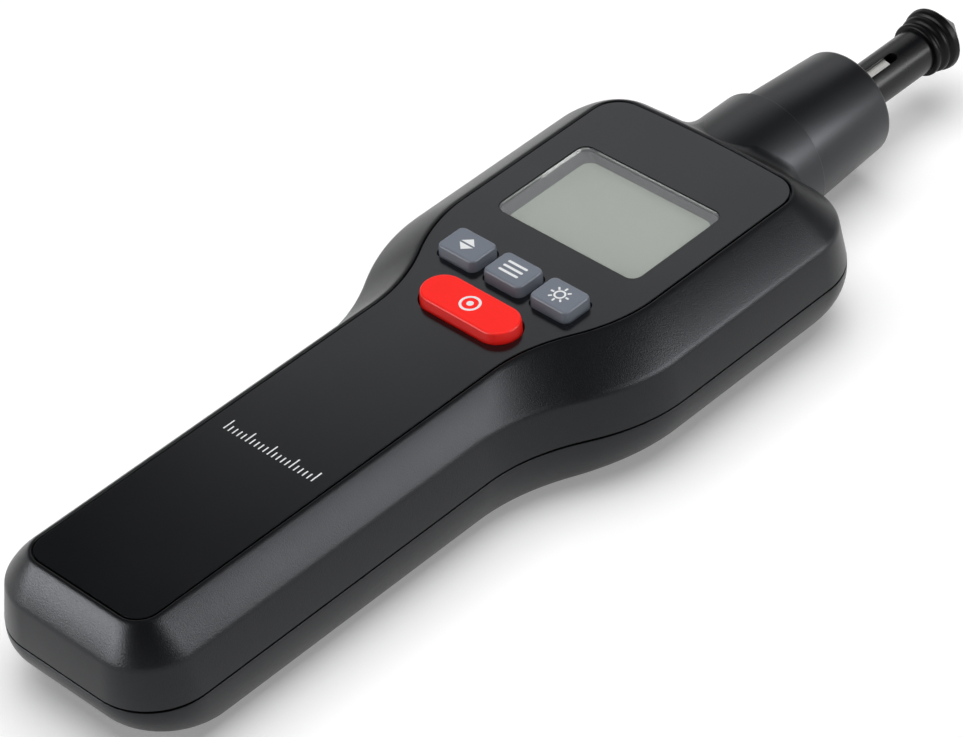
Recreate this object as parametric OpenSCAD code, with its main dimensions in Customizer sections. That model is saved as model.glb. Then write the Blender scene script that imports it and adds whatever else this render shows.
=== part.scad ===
// Handheld laser tachometer with its contact adapter fitted.
// The housing lies on its flat back with the display up, and the nose points along +Y.
// X is across the housing. The origin is under the middle of the whole length.

/* [Housing] */
// Length of the housing from the tail to the nose wall
body_l = 193.5; // [190:0.5:215]
// Height from the flat back to the front panel
body_h = 32; // [31.5:0.25:36]
// Width of the handle at the seam
handle_w = 49.6; // [48:0.2:56]
// Width of the head at the seam
head_w = 75.6; // [72:0.2:84]
// Height of the seam between the two shells
seam_h = 15; // [14:0.25:16]
// How far the shoulder lies under the front panel
shoulder_drop = 7.4; // [6:0.1:8.5]
// How far the shoulder stands inside the seam line
wall_draft = 1.7; // [1:0.1:2.5]
// Radius of the tail corners at the seam
tail_r = 14; // [11:0.5:16]
// Radius of the nose corners at the seam
nose_r = 16; // [12:0.5:17]
// Distance from the tail to where the neck starts to widen
neck_start = 90; // [86:0.5:92]
// Length of the widening neck
neck_l = 43; // [40:0.5:44]
// Wall of the two shells
wall = 2.2; // [2:0.1:2.4]

/* [Front panel] */
// Width of the front panel on the handle
panel_handle_w = 31.8; // [30:0.2:34]
// Width of the front panel on the head
panel_head_w = 51.7; // [50:0.1:54]
// Distance from the tail to the front panel
panel_tail_gap = 7.5; // [7:0.1:9]
// Distance from the nose wall to the front panel
panel_nose_gap = 9.8; // [9.5:0.1:11]
// Depth of the recess for the panel
panel_recess = 1.2; // [1:0.1:1.4]
// Groove around the front panel
panel_groove = 0.4; // [0.3:0.05:0.5]

/* [Display] */
// Width of the display window
window_w = 38.6; // [36:0.2:40]
// Length of the display window
window_l = 27.7; // [26:0.1:28.5]
// Distance from the nose wall to the middle of the window
window_nose_gap = 40.3; // [39.5:0.1:41]
// Thickness of the clear display window
window_t = 1; // [0.8:0.1:1.1]
// Thickness of the display glass
glass_t = 2; // [1.6:0.1:2.2]
// Thickness of the backlight plate
backlight_t = 2; // [1.6:0.1:2.4]
// Thickness of the main circuit board
board_t = 1.6; // [1.2:0.1:1.8]

/* [Keys] */
// Width of one of the three small keys
key_w = 10.6; // [10:0.1:11]
// Length of one of the three small keys
key_l = 8.2; // [7.6:0.1:8.8]
// Distance between the middles of the small keys
key_pitch = 12.7; // [12.5:0.1:13.5]
// Width of the measuring key
measure_w = 24.8; // [22:0.2:26]
// Length of the measuring key
measure_l = 9.8; // [9:0.1:10.4]
// How far the keys stand over the front panel
key_rise = 2.5; // [2:0.1:3.5]
// Travel of a key
key_travel = 1; // [0.6:0.1:1.2]
// Gap around a key
key_gap = 0.3; // [0.2:0.05:0.4]

/* [Nose barrel and adapter] */
// Radius of the nose barrel
barrel_r = 15.25; // [14.5:0.05:15.4]
// How far the barrel stands out of the nose wall
barrel_out = 9.8; // [9:0.1:12]
// Radius of the bore that takes the adapter
socket_r = 12.6; // [12:0.1:13]
// Radius of the adapter collar at the barrel
collar_rear_r = 13.8; // [13.2:0.1:14.4]
// Radius of the adapter collar at its front
collar_front_r = 12.3; // [11:0.1:13]
// Length of the adapter collar
collar_l = 25.4; // [23:0.1:30]
// Length of the spigot that plugs into the barrel
spigot_l = 10.5; // [9:0.1:11]
// Radius of the spindle shaft
shaft_r = 2; // [1.5:0.1:2.2]
// Radius of the shaft's front end, in the tip sleeve
journal_r = 4.1; // [3.4:0.05:4.2]
// Outer radius of a spindle bearing
bearing_r = 5; // [4.5:0.1:5.6]
// Width of a spindle bearing
bearing_w = 4; // [3:0.1:4.5]

/* [Contact tip] */
// Radius of the slotted tip sleeve
sleeve_r = 5.2; // [4.6:0.1:6]
// Length of the sleeve between the collar and the rubber cone
sleeve_l = 23.5; // [23:0.1:30]
// Width of the slot in the sleeve
slot_w = 2.2; // [1.6:0.1:2.4]
// Length of the slot
slot_l = 14.2; // [12:0.1:17]
// Radius of the rubber cone
cone_r = 7.45; // [6.6:0.05:9]
// Length of the round part of the rubber cone
cone_body_l = 7.7; // [7:0.1:9]
// Height of the rubber point
cone_point_l = 5.7; // [5:0.1:8]

/* [Battery bay] */
// Width of the battery door
door_w = 28.4; // [28:0.1:28.8]
// Distance from the tail to the inner edge of the battery door
door_l = 88; // [86:0.2:88]
// How far the door slides before it lifts off
door_slide = 6; // [4:0.5:7]
// Length of the battery without its terminals
battery_l = 46.4; // [46:0.1:47]
// Width of the battery
battery_w = 26.2; // [25:0.1:26.5]
// Height of the battery
battery_h = 17.3; // [16.5:0.1:17.5]

/* [Hidden] */

// Steps of the outlines and of the round parts
corner_steps = 7;
neck_steps = 12;
nose_steps = 3;
belly_steps = 6;
round_fn = 96;
edge_fn = 32;

// Shared clearances
over = 1;
hair = 0.05;
running_gap = 0.03;
seat_gap = 0.3;
loose_gap = 0.25;

// Places along the length, counted from the tail
nose_y = body_l;
barrel_front = nose_y + barrel_out;
collar_front = barrel_front + collar_l;
sleeve_front = collar_front + sleeve_l;
cone_front = sleeve_front + cone_body_l;
tip_y = cone_front + cone_point_l;
mid_y = tip_y / 2;
neck_end = neck_start + neck_l;
measure_gap = 81.9;
measure_y = nose_y - measure_gap;

// Heights
panel_top = body_h;
recess_floor = panel_top - panel_recess;
top_wall = 1.8;
ceiling = recess_floor - top_wall;
shoulder_z = panel_top - shoulder_drop;
axis_drop = 15.7;
axis_z = panel_top - axis_drop;

// Shell form: chamfer, belly and seam
rim_w = 0.6;
chamfer_bulge = 0.35;
shoulder_round = 1;
shoulder_in = 0.45;
seam_groove = 0.5;
seam_groove_in = 0.5;
tongue_h = 1.5;
tongue_in = 1.2;
nose_bow = 0.6;
belly_drop = 1;
belly_side_handle = 10.4;
belly_side_head = 16;
belly_tail = 29;
belly_nose = 15;
belly_r = 12;
belly_tail_r = 5;
floor_t = wall;

// Corners of the panel and of the shoulder
panel_tail_r = 5;
panel_nose_r = 7;
shoulder_tail_r = 12;
shoulder_nose_r = 14.5;
shoulder_tail_gap = 1.2;
shoulder_nose_gap = 1.3;
panel_neck_late = 11.5;
panel_neck_short = 7;
window_r = 2.6;

// One level of the shell form: height, half widths, ends, corner radii and neck
function level(z, handle, head, tail, nose, tail_radius, nose_radius, from, to) =
    [z, handle, head, tail, nose, tail_radius, nose_radius, from, to];
// The same level drawn in by d, at another height
function inset(v, d, z) = [z, v[1] - d, v[2] - d, v[3] + d, v[4] - d,
    max(v[5] - d, wall), max(v[6] - d, wall), v[7], v[8]];
// A level between two others
function between(u, v, t) = u + (v - u) * t;
// S-curve of the neck, made of two equal arcs
function sway(t) = t < 0.5 ? 2 * t * t : 1 - 2 * (1 - t) * (1 - t);

// Right half of a level's outline, from the tail to the nose
function half_outline(v) = concat(
    [for (i = [0:corner_steps]) let (a = -90 + 90 * i / corner_steps)
        [v[1] - v[5] + v[5] * cos(a), v[3] + v[5] + v[5] * sin(a)]],
    [for (i = [0:neck_steps]) let (t = i / neck_steps)
        [v[1] + (v[2] - v[1]) * sway(t), v[7] + (v[8] - v[7]) * t]],
    [for (i = [0:corner_steps]) let (a = 90 * i / corner_steps)
        [v[2] - v[6] + v[6] * cos(a), v[4] - v[6] + v[6] * sin(a)]],
    [for (i = [1:nose_steps]) let (s = 1 - i / nose_steps)
        [(v[2] - v[6]) * s, v[4] + nose_bow * (1 - s * s)]]);
function ring2(v) = let (h = half_outline(v), n = len(h))
    concat(h, [for (i = [n - 2:-1:0]) [-h[i][0], h[i][1]]]);
function ring3(v) = [for (p = ring2(v)) [p[0], p[1], v[0]]];

// Closed solid through a list of levels, in mirrored triangles. Each flat end is made of strips
// that run across it.
module loft(levels) {
    rings = [for (v = levels) ring3(v)];
    n = len(rings[0]);
    m = len(rings);
    sides = [for (k = [0:m - 2], i = [0:n - 1])
        let (j = (i + 1) % n, a = k * n + i, b = k * n + j, c = a + n, d = b + n)
        each 2 * i < n ? [[a, c, d], [a, d, b]] : [[a, c, b], [c, d, b]]];
    nose = (n - 1) / 2;
    strips = concat([for (i = [0:nose - 2]) [i, i + 1, n - 2 - i, n - 1 - i]], [[nose - 1, nose, nose + 1]]);
    far_strips = [for (f = strips) [for (i = [len(f) - 1:-1:0]) (m - 1) * n + f[i]]];
    polyhedron(points = [for (r = rings) each r], faces = concat(sides, strips, far_strips), convexity = 10);
}

// Levels that the shells share
seam_level = level(seam_h, handle_w / 2, head_w / 2, 0, nose_y, tail_r, nose_r, neck_start, neck_end);
shoulder_level = level(shoulder_z, handle_w / 2 - wall_draft, head_w / 2 - wall_draft,
    shoulder_tail_gap, nose_y - shoulder_nose_gap, shoulder_tail_r, shoulder_nose_r,
    neck_start, neck_end);
recess_level = level(panel_top, panel_handle_w / 2 + panel_groove, panel_head_w / 2 + panel_groove,
    panel_tail_gap - panel_groove, nose_y - panel_nose_gap + panel_groove,
    panel_tail_r, panel_nose_r, neck_start + panel_neck_late, neck_end + panel_neck_late - panel_neck_short);
rim_level = inset(recess_level, -rim_w, panel_top);
bottom_level = level(0, handle_w / 2 - belly_side_handle, head_w / 2 - belly_side_head,
    belly_tail, nose_y - belly_nose, belly_tail_r, belly_r, neck_start, neck_end);

// Level of the belly at an angle down from the seam, where 90 degrees is the back
function belly(a, d, low) = let (u = between(seam_level, bottom_level, 1 - cos(a)), v = inset(u, d, 0))
    [low + (seam_h - belly_drop - low) * (1 - sin(a)), v[1], v[2], v[3], v[4], v[5], v[6], v[7], v[8]];

upper_levels = [
    inset(recess_level, panel_groove, ceiling),
    inset(shoulder_level, wall, shoulder_z - wall),
    inset(seam_level, wall, seam_h + tongue_h + hair),
    inset(seam_level, tongue_in - hair, seam_h + tongue_h + hair),
    inset(seam_level, tongue_in - hair, seam_h),
    inset(seam_level, seam_groove_in, seam_h),
    inset(seam_level, seam_groove_in, seam_h + seam_groove),
    inset(seam_level, 0, seam_h + seam_groove),
    inset(shoulder_level, 0, shoulder_z - shoulder_round / 2),
    inset(shoulder_level, shoulder_in, shoulder_z + shoulder_round / 2),
    inset(between(shoulder_level, rim_level, 0.5), -chamfer_bulge, (shoulder_z + panel_top) / 2 + chamfer_bulge),
    rim_level,
    recess_level,
    inset(recess_level, 0, recess_floor)];

lower_levels = concat(
    [for (i = [belly_steps:-1:0]) belly(90 * i / belly_steps, 0, 0)],
    [inset(seam_level, 0, seam_h),
        inset(seam_level, tongue_in, seam_h),
        inset(seam_level, tongue_in, seam_h + tongue_h),
        inset(seam_level, wall, seam_h + tongue_h)],
    [for (i = [0:belly_steps]) belly(90 * i / belly_steps, wall, floor_t)]);
// The outside of the lower shell as a closed solid
lower_outside = concat([for (i = [belly_steps:-1:0]) belly(90 * i / belly_steps, 0, 0)],
    [inset(seam_level, 0, seam_h)]);

// Display stack, from the panel down to the board
window_y = nose_y - window_nose_gap;
opening_rim = 1.6;
opening_w = window_w + 2 * opening_rim;
opening_l = window_l + 2 * opening_rim;
bezel_h = 2.2;
bezel_ledge = 0.5;
view_rim = 1.9;
view_w = window_w - 2 * view_rim;
view_l = window_l - view_rim;
glass_top = recess_floor - bezel_h;
glass_rim = 2.7;
glass_w = window_w + 2 * glass_rim;
glass_l = window_l + 2 * glass_rim;
backlight_in = 1;
backlight_w = glass_w - 2 * backlight_in;
strip_l = 2.2;
strip_gap = 0.8;
backlight_l = glass_l - strip_l - strip_gap;
board_top = glass_top - glass_t - backlight_t;

// Main board, with its posts, screws and the parts under it
board_key_gap = 20.1;
board_tail_half = 14.5;
board_tail_l = 25;
board_neck_l = 10;
board_head_half = 24;
board_nose_gap = 18.5;
board_tail_y = measure_y - board_key_gap;
board_neck_y = board_tail_y + board_tail_l;
board_head_y = board_neck_y + board_neck_l;
board_nose_y = nose_y - board_nose_gap;
board_half = [[board_tail_half, board_tail_y], [board_tail_half, board_neck_y],
    [board_head_half, board_head_y], [board_head_half, board_nose_y]];
post_r = 2.2;
post_h = ceiling - board_top + hair;
post_pilot_r = 0.85;
post_screw_r = 0.8;
post_screw_l = 3.2;
post_head_r = 1.6;
post_head_h = 1.3;
post_out = 3.3;
post_x = board_head_half - post_r - seat_gap;
post_places = concat([for (s = [-1, 1], y = [window_y - glass_l / 2 - post_out - post_r,
    window_y + glass_l / 2 + post_out]) [s * post_x, y]], [[0, board_tail_y + post_r + post_out]]);
// Chips under the board: place, width, length and height as shares of the board's head
part_h = 2.8;
chip_shares = [[0, 0.5, 0.6, 0.28, 0.6], [-0.55, 0.75, 0.25, 0.18, 0.45], [0.55, 0.8, 0.4, 0.1, 1],
    [-0.55, 0.2, 0.3, 0.1, 0.75], [0.5, 0.2, 0.2, 0.1, 0.35], [0, 0.9, 0.5, 0.06, 0.9]];
chip_places = [for (c = chip_shares) [c[0] * board_head_half, board_head_y + c[1] * (board_nose_y - board_head_y),
    c[2] * board_head_half, c[3] * (board_nose_y - board_head_y), c[4] * part_h]];

// Case screws, with pillars in the lower shell and bosses in the upper one
screw_tail_y = 30;
screw_tail_edge = 6.5;
screw_edge = 9.4;
screw_neck_gap = 4;
screw_nose_gap = 17.5;
handle_screws = [for (s = [-1, 1]) [s * (handle_w / 2 - screw_tail_edge), screw_tail_y]];
head_screws = [for (s = [-1, 1], y = [neck_end + screw_neck_gap, nose_y - screw_nose_gap])
    [s * (head_w / 2 - screw_edge), y]];
screw_places = concat(handle_screws, head_screws);
screw_r = 1.25;
screw_l = 15.5;
head_r = 2.6;
head_h = 2;
head_seat = 6;
cross_w = 0.8;
cross_l = 3.2;
pillar_r = 3.6;
boss_r = 3.2;
boss_drop = 3.5;
boss_h = ceiling - boss_drop - seam_h;
pilot_r = screw_r + hair;
pilot_cover = 1.2;

// Battery door, its tabs and its grip
door_lip_z = 6;
tab_gaps = [42, 12];
tab_places = [for (g = tab_gaps) door_l - g];
tab_l = 5;
tab_lift = 0.7;
tab_z = floor_t + tab_lift;
tab_t = 1;
tab_reach = 1.3;
tab_root_t = 0.8;
grip_w = 14;
grip_gap = 30;
grip_y = door_l - grip_gap;
grip_pitch = 2.4;
grip_count = 5;
grip_deep = 0.4;

// Battery, its bay and its contacts
bay_gap = 0.4;
bay_half = door_w / 2 + bay_gap;
bay_wall_t = 1.4;
bay_wall_h = 15;
bay_end_gap = 2.2;
bay_nose = door_l + bay_end_gap;
battery_z = floor_t + loose_gap;
stud_r = 2.9;
stud_l = 2.4;
stud_pitch = 12.7;
cup_t = 0.9;
cup_l = 2;
contacts_t = 1.6;
contacts_lift = 1;
contacts_y = bay_nose - bay_wall_t - contacts_t;
battery_tail = contacts_y - hair - stud_l - battery_l;
bay_tail = battery_tail - loose_gap - bay_wall_t;

// Nose barrel, window and optics
step_back = 8.1;
barrel_step = nose_y - step_back;
barrel_edge = 0.4;
tube_l = 8.4;
tube_y = barrel_step - tube_l;
tube_r = 12.4;
tube_bore_r = 10.4;
rib_w = 34;
rib_t = 1.6;
flange_t = 2;
flange_gap = 0.2;
flange_foot = 4.3;
spigot_y = barrel_front - spigot_l;
lens_t = 2;
lens_gap = 0.8;
lens_seat = spigot_y - lens_gap - lens_t;
optic_pitch = 9.8;
optic_r = 4;
laser_l = 10;
aperture_r = 1.6;
aperture_deep = 1.5;
sensor_h = 4;
sensor_lens_gap = 8;
sensor_lens_y = tube_y + sensor_lens_gap;
sensor_rim_t = 1;
sensor_dome_h = 1.4;

// Adapter: collar, bearings and what turns in them
spigot_wall = 2;
spigot_bore_r = socket_r - spigot_wall;
collar_edge = 1;
collar_lip_r = 3.2;
collar_lip_t = 2;
race_t = 0.9;
shield_in = 0.35;
bearing_span = 10.2;
front_bearing_y = collar_front - collar_lip_t - bearing_w;
rear_bearing_y = front_bearing_y - bearing_span - bearing_w;
disc_gap = 2.2;
disc_rim_gap = 1.3;
disc_y = spigot_y + disc_gap;
disc_r = spigot_bore_r - disc_rim_gap;
disc_t = 1.2;
hub_r = 3.4;
hub_l = 4;
marker_w = 3.4;
marker_t = 0.2;
clip_t = 0.7;
clip_deep = 0.3;
clip_r = 4;
clip_mouth = 2.2;
clip_y = rear_bearing_y - seat_gap - clip_t;

// Tip: slotted sleeve and rubber cone
sleeve_gap = 0.4;
sleeve_y = collar_front + sleeve_gap;
sleeve_edge = 0.4;
slot_turn = 72;
bore_more = 0.2;
bore_l = slot_l + bore_more;
shaft_short = 2;
shaft_front = sleeve_y + bore_l - shaft_short;
shaft_edge = 0.4;
plug_r = 3.3;
plug_l = 6.4;
cone_edge = 0.8;
groove_gap = 2.2;
groove_y = sleeve_front + groove_gap;
groove_l = 1.6;
groove_deep = 0.9;
rear_ring_r = 6.8;
point_r = 1.1;
point_round = 0.6;

// Keys
measure_shift = 0.8;
key_row_gap = 68.6;
key_y = nose_y - key_row_gap;
key_r = 2.1;
key_edge = 0.9;
key_flange = 0.7;
key_flange_t = 0.9;
key_top = panel_top + key_rise;
flange_top = ceiling - hair;
flange_low = flange_top - key_flange_t;
// Small keys from left to right, as steps of the pitch
key_places = [-1, 0, 1];

// Rubber domes under the keys
dome_h = flange_low - board_top;
dome_base_r = 3.6;
dome_top_r = 2.2;
dome_t = 0.8;
dome_pill_z = 1.5;
dome_pill_r = 1.6;

// Puts a shape drawn from the tail into the part's own frame
module place() {
    translate([0, -mid_y, 0]) children();
}

// Flat rounded plate with its middle at x, y and its underside at z
module plate(x, y, z, w, l, h, r, fn = round_fn) {
    translate([x, y, z]) linear_extrude(height = h) rounded(w, l, r, fn);
}
// Rounded rectangle: two bars and four exact corner discs
module rounded(w, l, r, fn = round_fn) {
    square([w - 2 * r, l], center = true);
    square([w, l - 2 * r], center = true);
    for (sx = [-1, 1], sy = [-1, 1])
        translate([sx * (w / 2 - r), sy * (l / 2 - r)]) circle(r = r, $fn = fn);
}
// Cylinder along Y, from y to y + l, on the axis of the nose
module along(x, y, l, r) {
    translate([x, y, axis_z]) rotate([-90, 0, 0]) cylinder(h = l, r = r, $fn = round_fn);
}
// Solid of revolution about the nose axis, from points given as radius and place along Y
module turned(points) {
    translate([0, 0, axis_z]) rotate([-90, 0, 0]) rotate_extrude($fn = round_fn) polygon(points);
}

module key_holes(z, h) {
    for (k = key_places)
        plate(k * key_pitch, key_y, z, key_w + 2 * key_gap, key_l + 2 * key_gap, h, key_r + key_gap);
    plate(measure_shift, measure_y, z, measure_w + 2 * key_gap, measure_l + 2 * key_gap, h,
        measure_l / 2 + key_gap - hair);
}
// Key cap with a soft upper edge and the flange that keeps it under the shell
module key_cap(x, y, w, l, r) {
    translate([x, y, 0]) hull() {
        translate([0, 0, flange_low]) linear_extrude(height = key_top - key_edge - flange_low)
            rounded(w, l, r, edge_fn);
        translate([0, 0, key_top - key_edge]) linear_extrude(height = key_edge * 0.7)
            rounded(w - key_edge * 0.6, l - key_edge * 0.6, r - key_edge * 0.3, edge_fn);
        translate([0, 0, key_top - key_edge]) linear_extrude(height = key_edge)
            rounded(w - key_edge * 1.7, l - key_edge * 1.7, r - key_edge * 0.85, edge_fn);
    }
    plate(x, y, flange_low, w + 2 * key_flange, l + 2 * key_flange, key_flange_t, r + key_flange);
}

module upper_shell() {
    color([0.15, 0.155, 0.16]) place() difference() {
        union() {
            loft(upper_levels);
            for (p = screw_places)
                translate([p[0], p[1], seam_h]) cylinder(h = boss_h, r = boss_r, $fn = round_fn);
            for (p = post_places)
                translate([p[0], p[1], board_top]) cylinder(h = post_h, r = post_r, $fn = round_fn);
            translate([-rib_w / 2, barrel_step - rib_t, seam_h]) cube([rib_w, rib_t, ceiling - seam_h]);
        }
        plate(0, window_y, ceiling - over, opening_w, opening_l, top_wall + 2 * over, window_r);
        key_holes(ceiling - over, top_wall + 2 * over);
        along(0, barrel_step, nose_y - barrel_step + over, barrel_r + hair);
        along(0, barrel_step - rib_t - over, rib_t + 2 * over, tube_r + hair);
        for (p = screw_places)
            translate([p[0], p[1], seam_h - over])
                cylinder(h = boss_h - pilot_cover + over, r = pilot_r, $fn = round_fn);
        for (p = post_places)
            translate([p[0], p[1], board_top - over])
                cylinder(h = post_screw_l + over, r = post_pilot_r, $fn = round_fn);
    }
}

// Box that the battery door takes out of the lower shell, drawn in by a gap
module door_space(gap) {
    translate([-door_w / 2 + gap, -over, -over])
        cube([door_w - 2 * gap, door_l - gap + over, door_lip_z - gap + over]);
}
module pillars(places) {
    for (p = places)
        translate([p[0], p[1], 0]) cylinder(h = seam_h, r = pillar_r, $fn = round_fn);
}
// Section across the straight handle's belly, drawn in by a hair
module handle_belly() {
    side = [for (i = [0:belly_steps]) let (v = belly(90 * i / belly_steps, hair, hair)) [v[1], v[0]]];
    polygon(concat([[side[0][0], seam_h]], side,
        [for (i = [belly_steps:-1:0]) [-side[i][0], side[i][1]]], [[-side[0][0], seam_h]]));
}
module lower_shell() {
    color([0.14, 0.145, 0.15]) place() difference() {
        union() {
            loft(lower_levels);
            intersection() {
                pillars(handle_screws);
                translate([0, bay_tail, 0]) rotate([90, 0, 0])
                    linear_extrude(height = bay_tail - belly_r) handle_belly();
            }
            intersection() {
                pillars(head_screws);
                loft(lower_outside);
            }
            for (s = [-1, 1])
                translate([s * (bay_half + bay_wall_t / 2) - bay_wall_t / 2, bay_tail, floor_t - hair])
                    cube([bay_wall_t, bay_nose - bay_tail, bay_wall_h]);
            for (y = [bay_tail, bay_nose - bay_wall_t])
                translate([-bay_half - hair, y, floor_t - hair])
                    cube([2 * (bay_half + hair), bay_wall_t, bay_wall_h]);
            translate([-rib_w / 2, barrel_step - rib_t, floor_t - hair])
                cube([rib_w, rib_t, seam_h - floor_t + hair]);
        }
        door_space(-loose_gap);
        for (p = screw_places) translate([p[0], p[1], 0]) {
            translate([0, 0, -over]) cylinder(h = head_seat + over, r = head_r + loose_gap, $fn = round_fn);
            cylinder(h = seam_h + over, r = screw_r + loose_gap, $fn = round_fn);
        }
        along(0, barrel_step, nose_y - barrel_step + over, barrel_r + hair);
        along(0, barrel_step - rib_t - over, rib_t + 2 * over, tube_r + hair);
        for (s = [-1, 1], y = tab_places) {
            translate([s * (door_w / 2 + tab_reach / 2) - tab_reach / 2 - loose_gap,
                    y - door_slide - loose_gap, -over])
                cube([tab_reach + 2 * loose_gap, tab_l + 2 * loose_gap, tab_z + over]);
            translate([s * (bay_half + bay_wall_t / 2) - bay_wall_t / 2 - over,
                    y - door_slide - loose_gap, tab_z - loose_gap])
                cube([bay_wall_t + 2 * over, tab_l + door_slide + 2 * loose_gap, tab_t + 2 * loose_gap]);
        }
    }
}
module battery_door() {
    color([0.14, 0.145, 0.15]) place() {
        difference() {
            intersection() {
                loft(lower_levels);
                door_space(0);
            }
            for (i = [0:grip_count - 1])
                translate([-grip_w / 2, grip_y + i * grip_pitch, -over])
                    cube([grip_w, grip_pitch / 2, grip_deep + over]);
        }
        for (s = [-1, 1], y = tab_places) {
            translate([s * (door_w / 2 - tab_root_t / 2) - tab_root_t / 2, y, floor_t - hair])
                cube([tab_root_t, tab_l, tab_z + tab_t - floor_t + hair]);
            translate([s * (door_w / 2 + tab_reach / 2) - tab_reach / 2 - hair, y, tab_z])
                cube([tab_reach + 2 * hair, tab_l, tab_t]);
        }
    }
}
module front_panel() {
    color([0.2, 0.2, 0.21]) place() difference() {
        translate([0, 0, recess_floor]) linear_extrude(height = panel_recess)
            polygon(ring2(inset(recess_level, panel_groove, 0)));
        plate(0, window_y, recess_floor - over, window_w, window_l, panel_recess + 2 * over, window_r);
        key_holes(recess_floor - over, panel_recess + 2 * over);
    }
}
module display_window() {
    color([0.8, 0.84, 0.82, 0.4]) place()
        plate(0, window_y, recess_floor, window_w - 2 * hair, window_l - 2 * hair, window_t, window_r - hair);
}
module display_bezel() {
    color([0.45, 0.45, 0.47]) place() difference() {
        plate(0, window_y, glass_top, opening_w - 2 * loose_gap, opening_l - 2 * loose_gap,
            recess_floor - glass_top, window_r);
        hull() {
            plate(0, window_y, recess_floor, window_w - 2 * bezel_ledge, window_l - 2 * bezel_ledge,
                over, window_r, edge_fn);
            plate(0, window_y, glass_top - over, view_w, view_l, over, window_r, edge_fn);
        }
    }
}
module display_glass() {
    color([0.68, 0.7, 0.68]) place()
        translate([-glass_w / 2, window_y - glass_l / 2, glass_top - glass_t]) cube([glass_w, glass_l, glass_t]);
}
module backlight_plate() {
    color([0.9, 0.92, 0.9]) place()
        translate([-backlight_w / 2, window_y + glass_l / 2 - backlight_l, board_top])
            cube([backlight_w, backlight_l, backlight_t]);
}
module contact_strip() {
    color([0.85, 0.5, 0.5]) place()
        translate([-backlight_w / 2, window_y - glass_l / 2, board_top])
            cube([backlight_w, strip_l, backlight_t]);
}
module main_board() {
    color([0.05, 0.35, 0.15]) place() difference() {
        translate([0, 0, board_top - board_t]) linear_extrude(height = board_t)
            polygon([for (s = [1, -1], i = [0:len(board_half) - 1])
                let (p = s == 1 ? board_half[i] : board_half[len(board_half) - 1 - i]) [s * p[0], p[1]]]);
        for (p = post_places)
            translate([p[0], p[1], board_top - board_t - over])
                cylinder(h = board_t + 2 * over, r = post_screw_r + loose_gap, $fn = round_fn);
    }
}
// Chips and a connector under the board, each as place, width, length and height
module board_parts() {
    color([0.1, 0.1, 0.1]) place() for (c = chip_places)
        translate([c[0] - c[2] / 2, c[1] - c[3] / 2, board_top - board_t - c[4]]) cube([c[2], c[3], c[4]]);
}
module board_screws() {
    color([0.75, 0.75, 0.77]) place() for (p = post_places)
        translate([p[0], p[1], board_top - board_t]) {
            translate([0, 0, -post_head_h]) cylinder(h = post_head_h, r = post_head_r, $fn = round_fn);
            translate([0, 0, -hair]) cylinder(h = board_t + post_screw_l - hair, r = post_screw_r, $fn = round_fn);
        }
}
module case_screws() {
    color([0.7, 0.7, 0.72]) place() for (p = screw_places)
        translate([p[0], p[1], head_seat]) difference() {
            union() {
                translate([0, 0, -head_h]) cylinder(h = head_h, r = head_r, $fn = round_fn);
                translate([0, 0, -hair]) cylinder(h = screw_l + hair, r = screw_r, $fn = round_fn);
            }
            for (a = [0, 90]) rotate([0, 0, a])
                translate([-cross_w / 2, -cross_l / 2, -head_h - over]) cube([cross_w, cross_l, over + head_h / 2]);
        }
}
module battery() {
    color([0.25, 0.27, 0.32]) place() {
        translate([-battery_w / 2, battery_tail, battery_z]) cube([battery_w, battery_l, battery_h]);
        for (s = [-1, 1])
            translate([s * stud_pitch / 2, battery_tail + battery_l - hair, battery_z + battery_h / 2])
                rotate([-90, 0, 0]) cylinder(h = stud_l + hair, r = stud_r, $fn = round_fn);
    }
}
module battery_contacts() {
    color([0.12, 0.12, 0.12]) place() {
        translate([-battery_w / 2, contacts_y, battery_z + contacts_lift])
            cube([battery_w, contacts_t, battery_h - 2 * contacts_lift]);
        for (s = [-1, 1])
            translate([s * stud_pitch / 2, contacts_y, battery_z + battery_h / 2]) rotate([90, 0, 0])
                difference() {
                    translate([0, 0, -hair]) cylinder(h = cup_l + hair, r = stud_r + cup_t, $fn = round_fn);
                    cylinder(h = cup_l + over, r = stud_r + hair, $fn = round_fn);
                }
    }
}
module nose_barrel() {
    color([0.13, 0.135, 0.14]) place() {
        turned([[tube_bore_r, tube_y], [tube_r, tube_y], [tube_r, barrel_step], [barrel_r, barrel_step],
            [barrel_r, barrel_front - barrel_edge], [barrel_r - barrel_edge, barrel_front],
            [socket_r, barrel_front], [socket_r, lens_seat], [tube_bore_r, lens_seat]]);
        difference() {
            along(0, barrel_step - rib_t - flange_gap - flange_t, flange_t, barrel_r);
            along(0, barrel_step - rib_t - flange_gap - flange_t - over, flange_t + 2 * over, tube_r - hair);
            translate([-rib_w / 2, tube_y, ceiling - 2 * top_wall]) cube([rib_w, tube_l, body_h]);
            translate([-rib_w / 2, tube_y, flange_foot - body_h]) cube([rib_w, tube_l, body_h]);
        }
    }
}
module nose_window() {
    color([0.5, 0.1, 0.12, 0.5]) place() along(0, lens_seat, lens_t, socket_r - hair);
}
module optics_holder() {
    color([0.1, 0.1, 0.1]) place() difference() {
        along(0, tube_y + sensor_h, lens_seat - tube_y - sensor_h - seat_gap, tube_bore_r - hair);
        for (s = [-1, 1])
            along(s * optic_pitch / 2, tube_y - over, lens_seat - tube_y + 2 * over, optic_r + hair);
    }
}
module laser_module() {
    color([0.8, 0.65, 0.3]) place() translate([-optic_pitch / 2, 0, 0]) difference() {
        along(0, tube_y, laser_l, optic_r);
        along(0, tube_y + laser_l - aperture_deep, aperture_deep + over, aperture_r);
    }
}
module light_sensor() {
    color([0.15, 0.15, 0.17]) place() along(optic_pitch / 2, tube_y, sensor_h, optic_r);
}
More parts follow.
